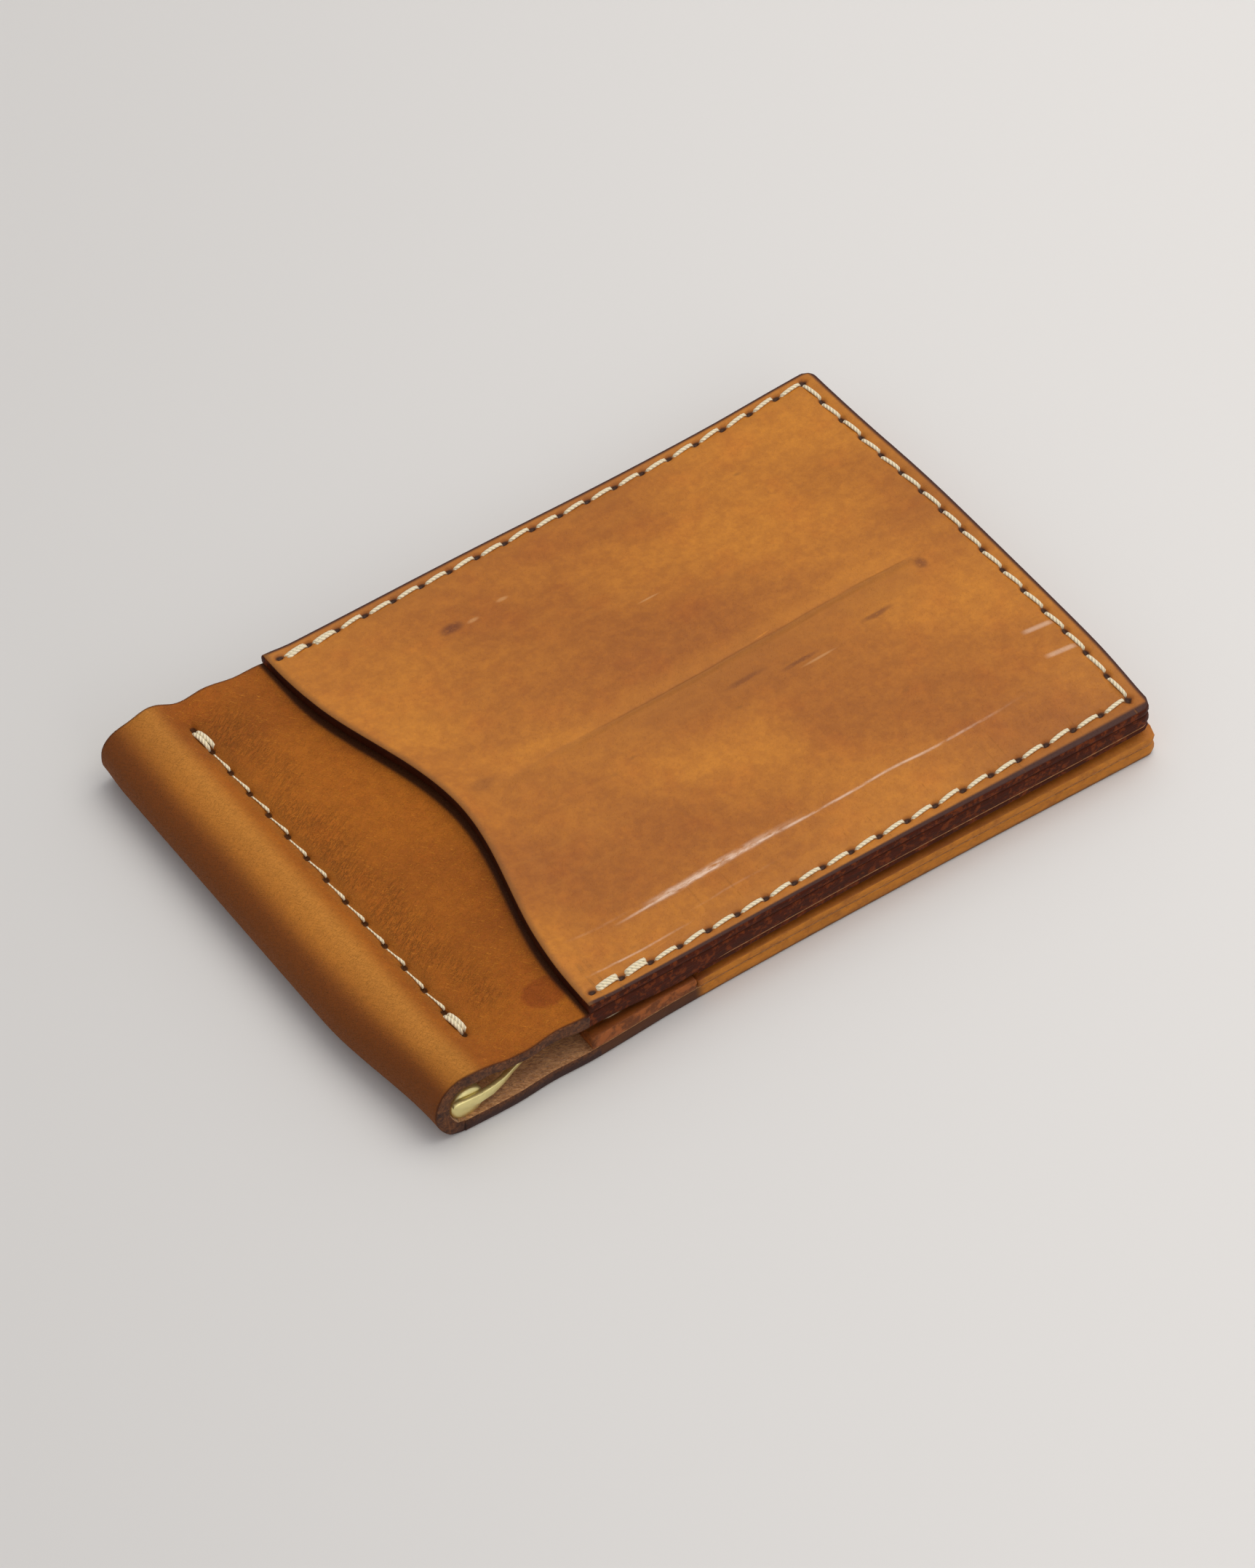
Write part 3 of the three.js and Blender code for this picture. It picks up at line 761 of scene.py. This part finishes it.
def build_front_cover(kit):
    """The cover from under the sleeve to the front leaf's free edge."""
    first = [0, 0.5] + [k / 3 for k in range(3, 30)]
    beside = [SEAM_T + d for d in (-0.75, -0.45, -0.2, 0, 0.2, 0.45, 0.75)]
    then = [12.1, 12.5, 13, 13.25, 13.5, 13.75] + [14 + k / 5 for k in range(5)] + [LEAF_T]
    leaf = [x for x in lines(MOUTH_X, FRONT_EDGE_X, 3.2) if MOUTH_X < x < FRONT_EDGE_X - 2.6]
    leaf += [48.5, 49.1, 49.7, 50.25, FRONT_EDGE_X]
    us = sorted({float(u) for u in first + beside + then} | {LEAF_T + (x - MOUTH_X) for x in leaf})
    vs = lines(-HALF, HALF, 1.3, marks(SEAM_Y0, 15))
    thick = kit.cover_thickness * 1000

    def place(u, y, top):
        droop = 0.75 * ease((-y - 28) / 5)
        if u <= LEAF_T:
            (x, z), out = cover_outline(u, y)
            yy = edge_y(y, mix(-33.9, -33.45, ease((z - 0.5) / 3)), FRONT_FAR_Y)
            wave = 0.14 * math.sin(x * 0.9) * ease((abs(y) - 31) / 3)
            if u > SEAM_T:
                rise = leaf_rise(x, y)
                yy = mix(yy, edge_y(y, -33.4, FRONT_FAR_Y), ease((x + 36) / 7))
            else:
                rise = leaf_rise(SEAM_X, y) * ease((u - 8.5) / 2.5)
            if top:
                down = spine_depth(x, y) if 9.5 < u < 12.5 else 0.0
            else:
                down = mix(thick, thick * 0.82, ease((u - 8.5) / 2.5)) + droop * ease((u - 13.2) / 1.8)
            return Vector((x - out.x * down, yy + (wave if y < 0 else -wave), z + rise - out.y * down))
        x, yy = front_outline(MOUTH_X + (u - LEAF_T), y)
        if top:
            return Vector((x, yy, 6.82 + leaf_rise(x, y)))
        mouth_z = 6.9 + leaf_rise(x, y) - thick * 0.82
        low = mix(mouth_z, inner_rise(x, y) + 5.0, ease((x - MOUTH_X) / 12))
        return Vector((x, yy, low - droop * (1 - ease((x + 17) / 8))))

    def flat(u, y):
        return (through(HIDE, u) if u <= LEAF_T else MOUTH_X + u - LEAF_T), y

    bm = sheet(us, vs, place, flat, edge_size=0.24, open_start=True, seed=3)
    for f in bm.faces:
        if f.material_index == 1 and f.calc_center_median().x > -29:
            f.material_index = 3
    obj = piece(bm, "front_cover", ["nap", "fibre", "flesh", "edge"])
    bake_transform(obj)
    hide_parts("spine_sleeve", "front_cover_panel")
    return obj


def build_rear_cover(kit):
    """The cover from under the sleeve to the rear leaf's free edge."""
    xs = lines(-46, -26, 0.8) + lines(-26, REAR_EDGE_X, 2.0, REAR_SEAM["xs"], LOOSE)[1:]
    ys = lines(-HALF, HALF, 1.7, REAR_SEAM["ys"], LOOSE)
    thick = kit.cover_thickness * 1000

    def place(x, y, top):
        rx, ry = rear_outline(x, y)
        if top:
            return Vector((rx, ry, thick - 0.02 + pull(x, y)))
        dent = seam_depth(REAR_SEAM, x, y) * 0.8 + (spine_depth(x, y) * 0.6 if x < -38 else 0)
        return Vector((rx, ry, 0.01 + pull(x, y) + dent))

    bm = sheet(xs, ys, place, edge_size=0.22, open_start=True, seed=4)
    for f in bm.faces:
        if f.material_index == 1 and f.calc_center_median().x < -27.5:
            f.material_index = 3
    obj = piece(bm, "rear_cover", ["flesh", "cut", "lining", "fibre"])
    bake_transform(obj)
    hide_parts("rear_cover_panel")
    return obj


# ---- the pockets ----
def scoop(x, y):
    """How far the thumb scoop draws the outer pocket's mouth in."""
    return SCOOP * ease(1 - abs(y - SCOOP_Y) / SCOOP_HALF) * (1 - ease((x - MOUTH_X) / 14))


def build_outer_pocket(kit):
    """The pocket on the outside of the front leaf, its mouth gaping a little."""
    xs = lines(MOUTH_X, FRONT_EDGE_X, 1.5, FRONT_SEAM["xs"])
    ys = lines(-HALF, HALF, 1.5, FRONT_SEAM["ys"])
    thick = kit.pocket_thickness * 1000

    def place(x, y, top):
        rx, ry = front_outline(x, y)
        rx += scoop(x, y)
        gape = 0.75 * (1 - ease((x - MOUTH_X) / 7)) * ease((31 - abs(y)) / 8)
        base = OUTER_Z + leaf_rise(rx, y) + gape
        if not top:
            return Vector((rx, ry, base))
        mouth = 0.35 * (1 - ease((x - MOUTH_X) / 4))
        return Vector((rx, ry, base + thick + mouth - seam_depth(FRONT_SEAM, x, y)))

    def flat(x, y):
        return x + scoop(x, y), y

    bm = sheet(xs, ys, place, flat, edge_size=0.2, seed=5)
    obj = piece(bm, "outer_pocket", ["grain", "edge", "flesh"])
    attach(obj, "front_leaf")
    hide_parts("front_outer_pocket")
    return obj


def build_inner_pocket():
    """The card pocket on the inside of the front leaf."""
    xs = lines(SECOND_X, FRONT_EDGE_X, 2.2, FRONT_SEAM["xs"], LOOSE)
    ys = lines(-HALF, HALF, 2.0, FRONT_SEAM["ys"], LOOSE)

    def place(x, y, top):
        rx, ry = front_outline(x, y)
        low = 4.98 if top else 4.2 + seam_depth(FRONT_SEAM, x, y) * 0.6
        return Vector((rx, ry, low + inner_rise(x, y)))

    bm = sheet(xs, ys, place, edge_size=0.16, rows=1, seed=6)
    obj = piece(bm, "inner_pocket", ["flesh", "edge", "lining"])
    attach(obj, "front_leaf")
    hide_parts("front_inner_pocket")
    return obj


def tab_lift(x, y):
    """The near tab's cut edge curls up a little."""
    return 0.85 * (1 - ease((x - MOUTH_X) / 34)) * ease((-y - 31) / 2.4) * (x < SECOND_X + 0.1)


def build_t_pocket(kit):
    """The T-shaped pocket: two sewn tabs and a thin body under the second pocket."""
    def place(x, y, top):
        yy = edge_y(y, through(REAR_NEAR, x), REAR_FAR_Y)
        if top:
            return Vector((x, yy, 3.15 + tab_lift(x, y) - seam_depth(REAR_SEAM, x, y) * 0.7))
        return Vector((x, yy, kit.cover_thickness * 1000 + 0.02))

    xs = lines(MOUTH_X, SECOND_X - 0.3, 1.2, REAR_SEAM["xs"][:4])
    ys = lines(-HALF, -27, 1.2, REAR_SEAM["ys"][:1]) + lines(-27, 27, 2.5)[1:-1]
    ys += lines(27, HALF, 1.2, [REAR_SEAM["y1"]])
    bm = sheet(xs, ys, place, edge_size=0.18, seed=7)
    body = sheet(lines(SECOND_X - 0.3, 44, 3), lines(-27, 27, 3),
                 lambda x, y, top: Vector((x, y, 2.4 if top else 1.95)), edge_size=0.1, rows=1, seed=8)
    mesh = mesh_of(body, "t_pocket_body")
    bm.from_mesh(mesh)
    bpy.data.meshes.remove(mesh)
    obj = piece(bm, "t_pocket", ["lining", "cut", "flesh"])
    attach(obj, "rear_leaf")
    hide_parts("rear_t_pocket")
    return obj


def build_second_pocket():
    """The card pocket over the T pocket's body."""
    xs = lines(SECOND_X, REAR_EDGE_X, 2.0, REAR_SEAM["xs"])
    ys = lines(-HALF, HALF, 1.8, REAR_SEAM["ys"])

    def place(x, y, top):
        rx, ry = rear_outline(x, y)
        if top:
            return Vector((rx, ry, 3.12 - seam_depth(REAR_SEAM, x, y) * 0.8))
        inside = min(y - through(REAR_NEAR, x), REAR_FAR_Y - y, REAR_EDGE_X - x) - 3
        return Vector((rx, ry, 1.92 + 0.55 * ease(inside / 1.2)))

    bm = sheet(xs, ys, place, edge_size=0.18, seed=9)
    obj = piece(bm, "second_pocket", ["lining", "cut", "flesh"])
    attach(obj, "rear_leaf")
    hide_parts("rear_second_pocket")
    return obj


# ---- thread ----
def drawn(bm, ring, stops):
    """Draws a closed ring of vertices through (place, half width, half height) stops and closes its end."""
    def pose(k):
        place, width, height = stops[k]
        ahead = (stops[min(k + 1, len(stops) - 1)][0] - stops[max(k - 1, 0)][0]).normalized()
        side = UP.cross(ahead).normalized()
        turn = Matrix((side * width, ahead.cross(side) * height, ahead)).transposed().to_4x4()
        return Matrix.Translation(place) @ turn

    bmesh.ops.transform(bm, matrix=pose(0), verts=ring)
    edges = [e for e in bm.edges if all(v in ring for v in e.verts)]
    for k in range(1, len(stops)):
        made = bmesh.ops.extrude_edge_only(bm, edges=edges)["geom"]
        new = [g for g in made if isinstance(g, bmesh.types.BMVert)]
        edges = [g for g in made if isinstance(g, bmesh.types.BMEdge) and all(v in new for v in g.verts)]
        bmesh.ops.transform(bm, matrix=pose(k) @ pose(k - 1).inverted(), verts=new)
    bmesh.ops.contextual_create(bm, geom=edges)


def stitch(length, width, bulge=0.0, rise=0.3, sink=0.5):
    """One stitch from hole to hole: it rises out of one and dives into the next."""
    half = width / 2
    stops = []
    for x, y, z, w in ((0.48, -0.17, -sink, 0.75), (0.76, -0.15, 0.0, 0.9), (1.25, -0.1, 0.7, 1.0),
                       (length / 2 + 0.05, 0.0, 1.0, 1.05), (length - 1.05, 0.1, 0.72, 1.0),
                       (length - 0.6, 0.15, 0.0, 0.9), (length - 0.32, 0.17, -sink, 0.7)):
        swell = w * (1 + bulge * ease((x - length * 0.55) / (length * 0.25)))
        stops.append((Vector((x, y, z * rise if z > 0 else z)), half * swell, half * 0.7 * swell))
    bm = bmesh.new()
    drawn(bm, bmesh.ops.create_circle(bm, cap_ends=True, segments=8, radius=1.0)["verts"], stops)
    bmesh.ops.recalc_face_normals(bm, faces=bm.faces[:])
    uv = bm.loops.layers.uv.new("UVMap")
    for f in bm.faces:
        for loop in f.loops:
            loop[uv].uv = (loop.vert.co.x * MM, loop.vert.co.y * MM)
    return mesh_of(bm, "one_stitch")


def lay(bm, mesh, a, b, up, rng):
    """Lays a stitch from a to b, its back towards up."""
    start = len(bm.verts)
    bm.from_mesh(mesh)
    bm.verts.ensure_lookup_table()
    ahead = (b - a).normalized()
    side = up.cross(ahead).normalized()
    turn = Matrix((ahead, side, ahead.cross(side))).transposed().to_4x4()
    wobble = Matrix.Rotation(rng.uniform(-0.04, 0.04), 4, "Z")
    nudge = Vector((0, rng.uniform(-0.04, 0.04), rng.uniform(-0.02, 0.03)))
    bmesh.ops.transform(bm, matrix=Matrix.Translation(a) @ turn @ Matrix.Translation(nudge) @ wobble,
                        verts=bm.verts[start:])


def sew_three_sides(bm, seam, height, up, rng, mesh):
    """Stitches from mouth to mouth round the free edge, on the face at height(x, y)."""
    def point(x, y):
        return Vector((x, y, height(x, y)))

    for row in (seam["y0"], seam["y1"]):
        for a, b in zip(seam["xs"], seam["xs"][1:]):
            lay(bm, mesh, point(a, row), point(b, row), up, rng)
    for a, b in zip(seam["ys"], seam["ys"][1:]):
        lay(bm, mesh, point(seam["x1"], a), point(seam["x1"], b), up, rng)


def new_thread():
    bm = bmesh.new()
    bm.loops.layers.uv.new("UVMap")
    return bm


def build_front_stitches(kit):
    """The seam round the front leaf; the first two stitches at each mouth are sewn twice."""
    rng = random.Random(11)
    mesh = stitch(PITCH, kit.thread_width * 1000, rise=0.12)
    bm = new_thread()
    outer = OUTER_Z + kit.pocket_thickness * 1000

    def under(x, y):
        return inner_rise(x, y) + (4.22 if x > SECOND_X else 5.0)

    sew_three_sides(bm, FRONT_SEAM, lambda x, y: outer + leaf_rise(x, y) - 0.1, UP, rng, mesh)
    sew_three_sides(bm, FRONT_SEAM, under, -UP, rng, mesh)
    for y, lean in ((FRONT_SEAM["y0"], 1), (FRONT_SEAM["y1"], -1)):
        for k in range(2):
            x = FRONT_SEAM["x0"] + PITCH * k + 0.1
            a = Vector((x, y + 0.42 * lean, outer + leaf_rise(x, y) - 0.04))
            lay(bm, mesh, a, a + Vector((PITCH, -0.12 * lean, 0.0)), UP, rng)
    obj = piece(bm, "front_leaf_stitches", ["thread"])
    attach(obj, "front_leaf")
    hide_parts("front_seam_thread")
    return obj


def build_rear_stitches(kit):
    """The seam round the rear leaf."""
    rng = random.Random(12)
    mesh = stitch(PITCH, kit.thread_width * 1000, rise=0.14, sink=0.3)
    bm = new_thread()
    sew_three_sides(bm, REAR_SEAM, lambda x, y: 0.3, -UP, rng, mesh)
    sew_three_sides(bm, REAR_SEAM, lambda x, y: 3.06 + tab_lift(x, y), UP, rng, mesh)
    obj = piece(bm, "rear_leaf_stitches", ["thread"])
    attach(obj, "rear_leaf")
    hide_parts("rear_seam_thread")
    return obj


def build_spine_stitches(kit):
    """Fourteen stitches drawn down into the valley beside the sleeve, doubled at both ends."""
    rng = random.Random(13)
    width = kit.thread_width * 1000
    mesh = stitch(PITCH, width * 0.4, bulge=1.1, rise=0.02, sink=0.3)
    wide = stitch(PITCH, width * 1.1, rise=0.3)
    bm = new_thread()
    for k in range(14):
        y = SEAM_Y0 + PITCH * (14 - k)
        a, b = (Vector((SEAM_X, v, VALLEY_Z)) for v in (y, y - PITCH))
        if k in (0, 13):
            for off in (-0.27, 0.27):
                shift = Vector((off, 0, 0.1))
                lay(bm, wide, a + shift, b + shift, UP, rng)
        else:
            lay(bm, mesh, a, b, UP, rng)
        a, b = (Vector((SEAM_X, v, pull(SEAM_X, v) + 0.06)) for v in (y, y - PITCH))
        lay(bm, mesh, a, b, -UP, rng)
    obj = piece(bm, "spine_stitches", ["thread"])
    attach(obj, "spine")
    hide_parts("spine_seam_thread")
    return obj


# ---- the note clip ----
BARREL_FRONT = Vector((-45.2, -31.7, 3.6))
BARREL_BACK = Vector((-46.85, 31.4, 4.0))
# Half the section of an end cap: radius and height.
CAP = [(0, 1.85), (0.9, 1.83), (1.7, 1.74), (2.15, 1.56), (2.3, 1.3), (2.3, 0.12), (2.1, 0), (0, 0)]
# Stops along one arm: place, and half its height.
ARM = [(-47.5, 33.75, 5.35, 0.2), (-46.9, 33.8, 5.2, 0.44), (-45.8, 33.8, 4.9, 0.58), (-43.9, 33.7, 4.42, 0.7),
       (-42, 33.4, 4.18, 0.66), (-40.3, 32.9, 4.06, 0.48), (-38.5, 32.1, 3.96, 0.34), (-36.5, 31.2, 3.88, 0.3),
       (-33, 30.5, 3.74, 0.28), (-28, 30.2, 3.62, 0.28), (0, 29.9, 3.62, 0.28), (6, 29.8, 3.62, 0.28)]
BAR_Z, BAR_THICK = 3.62, 0.56


def build_barrel():
    """The brass barrel that holds the spring, with a domed cap at each end."""
    middle, reach = (BARREL_FRONT + BARREL_BACK) / 2, BARREL_BACK - BARREL_FRONT
    frame_of = Matrix.Translation(middle) @ reach.to_track_quat("Z", "X").to_matrix().to_4x4()
    bm = bmesh.new()
    bmesh.ops.create_cone(bm, cap_ends=True, segments=40, radius1=2.05, radius2=2.05, depth=62.6)
    rims = [e for e in bm.edges if sum(len(f.verts) > 4 for f in e.link_faces) == 1]
    bmesh.ops.bevel(bm, geom=rims, offset=0.18, segments=3, profile=0.5, affect="EDGES", material=-1)
    bmesh.ops.transform(bm, matrix=frame_of, verts=bm.verts)
    barrel = piece(bm, "barrel", ["brass"])
    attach(barrel, "spine")
    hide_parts("clip_barrel")
    for name, side, node in (("front_cap", -1, "clip_cap_front"), ("rear_cap", 1, "clip_cap_rear")):
        bm = bmesh.new()
        made = [bm.verts.new((r, 0, h)) for r, h in CAP]
        for a, b in zip(made, made[1:]):
            bm.edges.new((a, b))
        bmesh.ops.spin(bm, geom=bm.verts[:] + bm.edges[:], cent=(0, 0, 0), axis=UP, angle=2 * math.pi,
                       steps=40, use_merge=True)
        bmesh.ops.remove_doubles(bm, verts=bm.verts, dist=0.001)
        bmesh.ops.recalc_face_normals(bm, faces=bm.faces[:])
        flip = Matrix.Rotation(math.pi, 4, "X") if side < 0 else Matrix.Identity(4)
        out = Matrix.Translation((0, 0, 31.5 * side))
        bmesh.ops.transform(bm, matrix=frame_of @ out @ flip, verts=bm.verts)
        cap = piece(bm, name, ["brass"])
        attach(cap, "spine")
        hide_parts(node)
    return barrel


def build_bail():
    """One bent strip: an arm from each end of the barrel, and the bar that presses on the notes."""
    bm = bmesh.new()
    for side, centre in ((-1, BARREL_FRONT), (1, BARREL_BACK)):
        ring = bmesh.ops.create_circle(bm, cap_ends=True, segments=4, radius=math.sqrt(2))["verts"]
        bmesh.ops.rotate(bm, cent=(0, 0, 0), matrix=Matrix.Rotation(math.pi / 4, 3, "Z"), verts=ring)
        drawn(bm, ring, [(Vector((x, side * y, z)), 0.32 + 0.6 * ease((x + 40) / 8), h) for x, y, z, h in ARM])
        pin = bmesh.ops.create_cone(bm, cap_ends=True, segments=16, radius1=0.6, radius2=0.6, depth=1.2)
        bmesh.ops.rotate(bm, cent=(0, 0, 0), matrix=Matrix.Rotation(math.pi / 2, 3, "X"), verts=pin["verts"])
        bmesh.ops.translate(bm, vec=(centre.x, side * 32.6, centre.z + 0.2), verts=pin["verts"])
    # the bar, and a corner that joins it to each arm
    for size, x, y in (((5.0, 56), 11, 0), ((7.6, 2.7), 9.3, -29.3), ((7.6, 2.7), 9.3, 29.3)):
        block = bmesh.ops.create_cube(bm, size=1.0)["verts"]
        bmesh.ops.scale(bm, vec=(*size, BAR_THICK), verts=block)
        bmesh.ops.translate(bm, vec=(x, y, BAR_Z), verts=block)
    bmesh.ops.recalc_face_normals(bm, faces=bm.faces[:])
    bmesh.ops.bevel(bm, geom=bm.edges[:], offset=0.09, segments=2, profile=0.5, affect="EDGES", material=-1)
    obj = piece(bm, "note_clip", ["brass"])
    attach(obj, "clip")
    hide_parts("clip_bail")
    return obj


# ---- stage ----
def build_stage(kit):
    """The table, a soft sky that is brighter over the free edge, three lamps and the camera."""
    scene = bpy.context.scene
    bm = bmesh.new()
    bmesh.ops.create_grid(bm, x_segments=1, y_segments=1, size=2000)
    bmesh.ops.translate(bm, vec=(0, 0, -0.02), verts=bm.verts)
    k = Look("pale_table")
    x, y, _ = k.parts(k.space())
    pale = darker(kit.table, 1)
    # painted light: the table's colour grows brighter towards the right of the picture
    across = (x * 0.825 - y * 0.564).step(-130, 110)
    colour = k.blend(across, darker(pale, 0.88), darker(pale, 1.08))
    floor = piece(bm, "table_top", [k.finish(Base_Color=colour, Roughness=0.75, Specular_IOR_Level=0.2)])

    k = Look("studio", "worlds")
    bright = Vector((0.62, -0.3, 0.72)).normalized()
    across = k.node("ShaderNodeVectorMath", {"operation": "DOT_PRODUCT"},
                    {0: k.node("ShaderNodeTexCoord"), 1: bright}, out=1)
    strength = k.node("ShaderNodeMapRange", None, {0: across, 1: -0.7, 2: 0.95, 3: 0.34, 4: 0.74})
    sky = k.node("ShaderNodeBackground", None, {0: (0.95, 0.96, 1.0, 1), 1: strength})
    k.node("ShaderNodeOutputWorld", None, {0: sky})
    scene.world = k.made
    for name, where, size, power, colour in (
            ("key", (0.42, -0.05, 1.0), 0.95, 4.1, (1.0, 0.96, 0.9)),
            ("over", (0.25, 0.45, 1.0), 0.9, 1.4, (1.0, 0.98, 0.95)),
            ("fill", (-0.1, -0.9, 0.4), 0.5, 0.6, (1.0, 0.98, 0.95))):
        light = bpy.data.lights.new(name, "AREA")
        light.shape, light.size, light.energy, light.color = "DISK", size, power, colour
        lamp = bpy.data.objects.new(name, light)
        scene.collection.objects.link(lamp)
        lamp.location = where
        lamp.rotation_mode = "QUATERNION"
        lamp.rotation_quaternion = Vector(where).to_track_quat("Z", "Y")

    # the camera's bearing, height above the table and tilt, then its place along its own axes
    turn, height, roll = math.radians(-34.365), math.radians(49.09), math.radians(-1.101)
    back = Vector((math.sin(turn) * math.cos(height), -math.cos(turn) * math.cos(height), math.sin(height)))
    level = Vector((math.cos(turn), math.sin(turn), 0))
    up = back.cross(level)
    right = level * math.cos(roll) + up * math.sin(roll)
    up = up * math.cos(roll) - level * math.sin(roll)
    place = (right * -0.231 + up * -2.730 + back * 765.43 + Vector((0.45, 0.3, 0))) * MM
    camera = bpy.data.cameras.new("camera")
    camera.lens, camera.sensor_width = 150.04, 36.0
    holder = bpy.data.objects.new("camera", camera)
    scene.collection.objects.link(holder)
    holder.matrix_world = Matrix.Translation(place) @ Matrix((right, up, back)).transposed().to_4x4()
    scene.camera = holder
    scene.view_settings.view_transform = "Standard"
    scene.view_settings.look = "None"
    return floor


# ---- the add-on ----
class CardHolderSizes(bpy.types.PropertyGroup):
    cover_thickness: bpy.props.FloatProperty(name="Cover thickness", description="Leather of the folded cover",
                                             default=0.0019, min=0.001, max=0.0024, unit="LENGTH")
    pocket_thickness: bpy.props.FloatProperty(name="Pocket thickness",
                                              description="Leather of the outer pocket",
                                              default=0.00118, min=0.0006, max=0.0016, unit="LENGTH")
    thread_width: bpy.props.FloatProperty(name="Thread width", description="Width of the waxed thread",
                                          default=0.00054, min=0.0004, max=0.001, unit="LENGTH")


class CardHolderColours(bpy.types.PropertyGroup):
    honey: bpy.props.FloatVectorProperty(name="Leather", description="Vegetable-tanned hide", subtype="COLOR",
                                         default=srgb(205, 127, 38)[:3], min=0, max=1)
    burnish: bpy.props.FloatVectorProperty(name="Burnished edge", description="Polished cut edges",
                                           subtype="COLOR", default=srgb(58, 22, 6)[:3], min=0, max=1)
    thread: bpy.props.FloatVectorProperty(name="Thread", description="Waxed linen thread", subtype="COLOR",
                                          default=srgb(252, 236, 198)[:3], min=0, max=1)
    brass: bpy.props.FloatVectorProperty(name="Brass", description="Barrel and note clip", subtype="COLOR",
                                         default=srgb(240, 226, 160)[:3], min=0, max=1)
    table: bpy.props.FloatVectorProperty(name="Table", description="Pale floor", subtype="COLOR",
                                         default=srgb(222, 219, 215)[:3], min=0, max=1)


def finished(operator, *objects):
    for obj in objects:
        if obj is None or not obj.data.vertices:
            raise RuntimeError(operator.bl_label + " made nothing")
    return {"FINISHED"}


class CARDHOLDER_OT_cover(bpy.types.Operator):
    """Make the one-piece cover, in its front and rear halves"""
    bl_idname = "cardholder.cover"
    bl_label = "Cover"

    def execute(self, context):
        kit = context.scene.card_holder_sizes
        return finished(self, build_front_cover(kit), build_rear_cover(kit))


class CARDHOLDER_OT_front_pockets(bpy.types.Operator):
    """Make the outer pocket with its thumb scoop and the pocket inside the front leaf"""
    bl_idname = "cardholder.front_pockets"
    bl_label = "Front pockets"

    def execute(self, context):
        kit = context.scene.card_holder_sizes
        return finished(self, build_outer_pocket(kit), build_inner_pocket())


class CARDHOLDER_OT_rear_pockets(bpy.types.Operator):
    """Make the T pocket and the second pocket on the rear leaf"""
    bl_idname = "cardholder.rear_pockets"
    bl_label = "Rear pockets"

    def execute(self, context):
        kit = context.scene.card_holder_sizes
        return finished(self, build_t_pocket(kit), build_second_pocket())


class CARDHOLDER_OT_stitches(bpy.types.Operator):
    """Sew the two leaves and the spine with waxed thread"""
    bl_idname = "cardholder.stitches"
    bl_label = "Stitches"

    def execute(self, context):
        kit = context.scene.card_holder_sizes
        return finished(self, build_front_stitches(kit), build_rear_stitches(kit), build_spine_stitches(kit))


class CARDHOLDER_OT_clip(bpy.types.Operator):
    """Make the brass barrel, its caps and the note clip"""
    bl_idname = "cardholder.clip"
    bl_label = "Note clip"

    def execute(self, context):
        return finished(self, build_barrel(), build_bail())


class CARDHOLDER_OT_stage(bpy.types.Operator):
    """Set the table, the lights and the camera"""
    bl_idname = "cardholder.stage"
    bl_label = "Stage"

    def execute(self, context):
        return finished(self, build_stage(context.scene.card_holder_colours))


OPERATORS = (CARDHOLDER_OT_stage, CARDHOLDER_OT_cover, CARDHOLDER_OT_front_pockets,
             CARDHOLDER_OT_rear_pockets, CARDHOLDER_OT_stitches, CARDHOLDER_OT_clip)


class CARDHOLDER_PT_panel(bpy.types.Panel):
    """Sizes, colours and pieces of the card holder"""
    bl_label = "Card Holder"
    bl_idname = "CARDHOLDER_PT_panel"
    bl_space_type = "VIEW_3D"
    bl_region_type = "UI"
    bl_category = "Card Holder"

    def draw(self, context):
        for group in (context.scene.card_holder_sizes, context.scene.card_holder_colours):
            for name in group.__annotations__:
                self.layout.prop(group, name)
        for operator in OPERATORS:
            self.layout.operator(operator.bl_idname)


CLASSES = (CardHolderSizes, CardHolderColours) + OPERATORS + (CARDHOLDER_PT_panel,)


def register():
    for cls in CLASSES:
        bpy.utils.register_class(cls)
    bpy.types.Scene.card_holder_sizes = bpy.props.PointerProperty(type=CardHolderSizes)
    bpy.types.Scene.card_holder_colours = bpy.props.PointerProperty(type=CardHolderColours)


def unregister():
    del bpy.types.Scene.card_holder_colours
    del bpy.types.Scene.card_holder_sizes
    for cls in reversed(CLASSES):
        bpy.utils.unregister_class(cls)


def main():
    register()
    for operator in OPERATORS:
        module, name = operator.bl_idname.split(".")
        getattr(getattr(bpy.ops, module), name)()


if __name__ == "__main__":
    main()
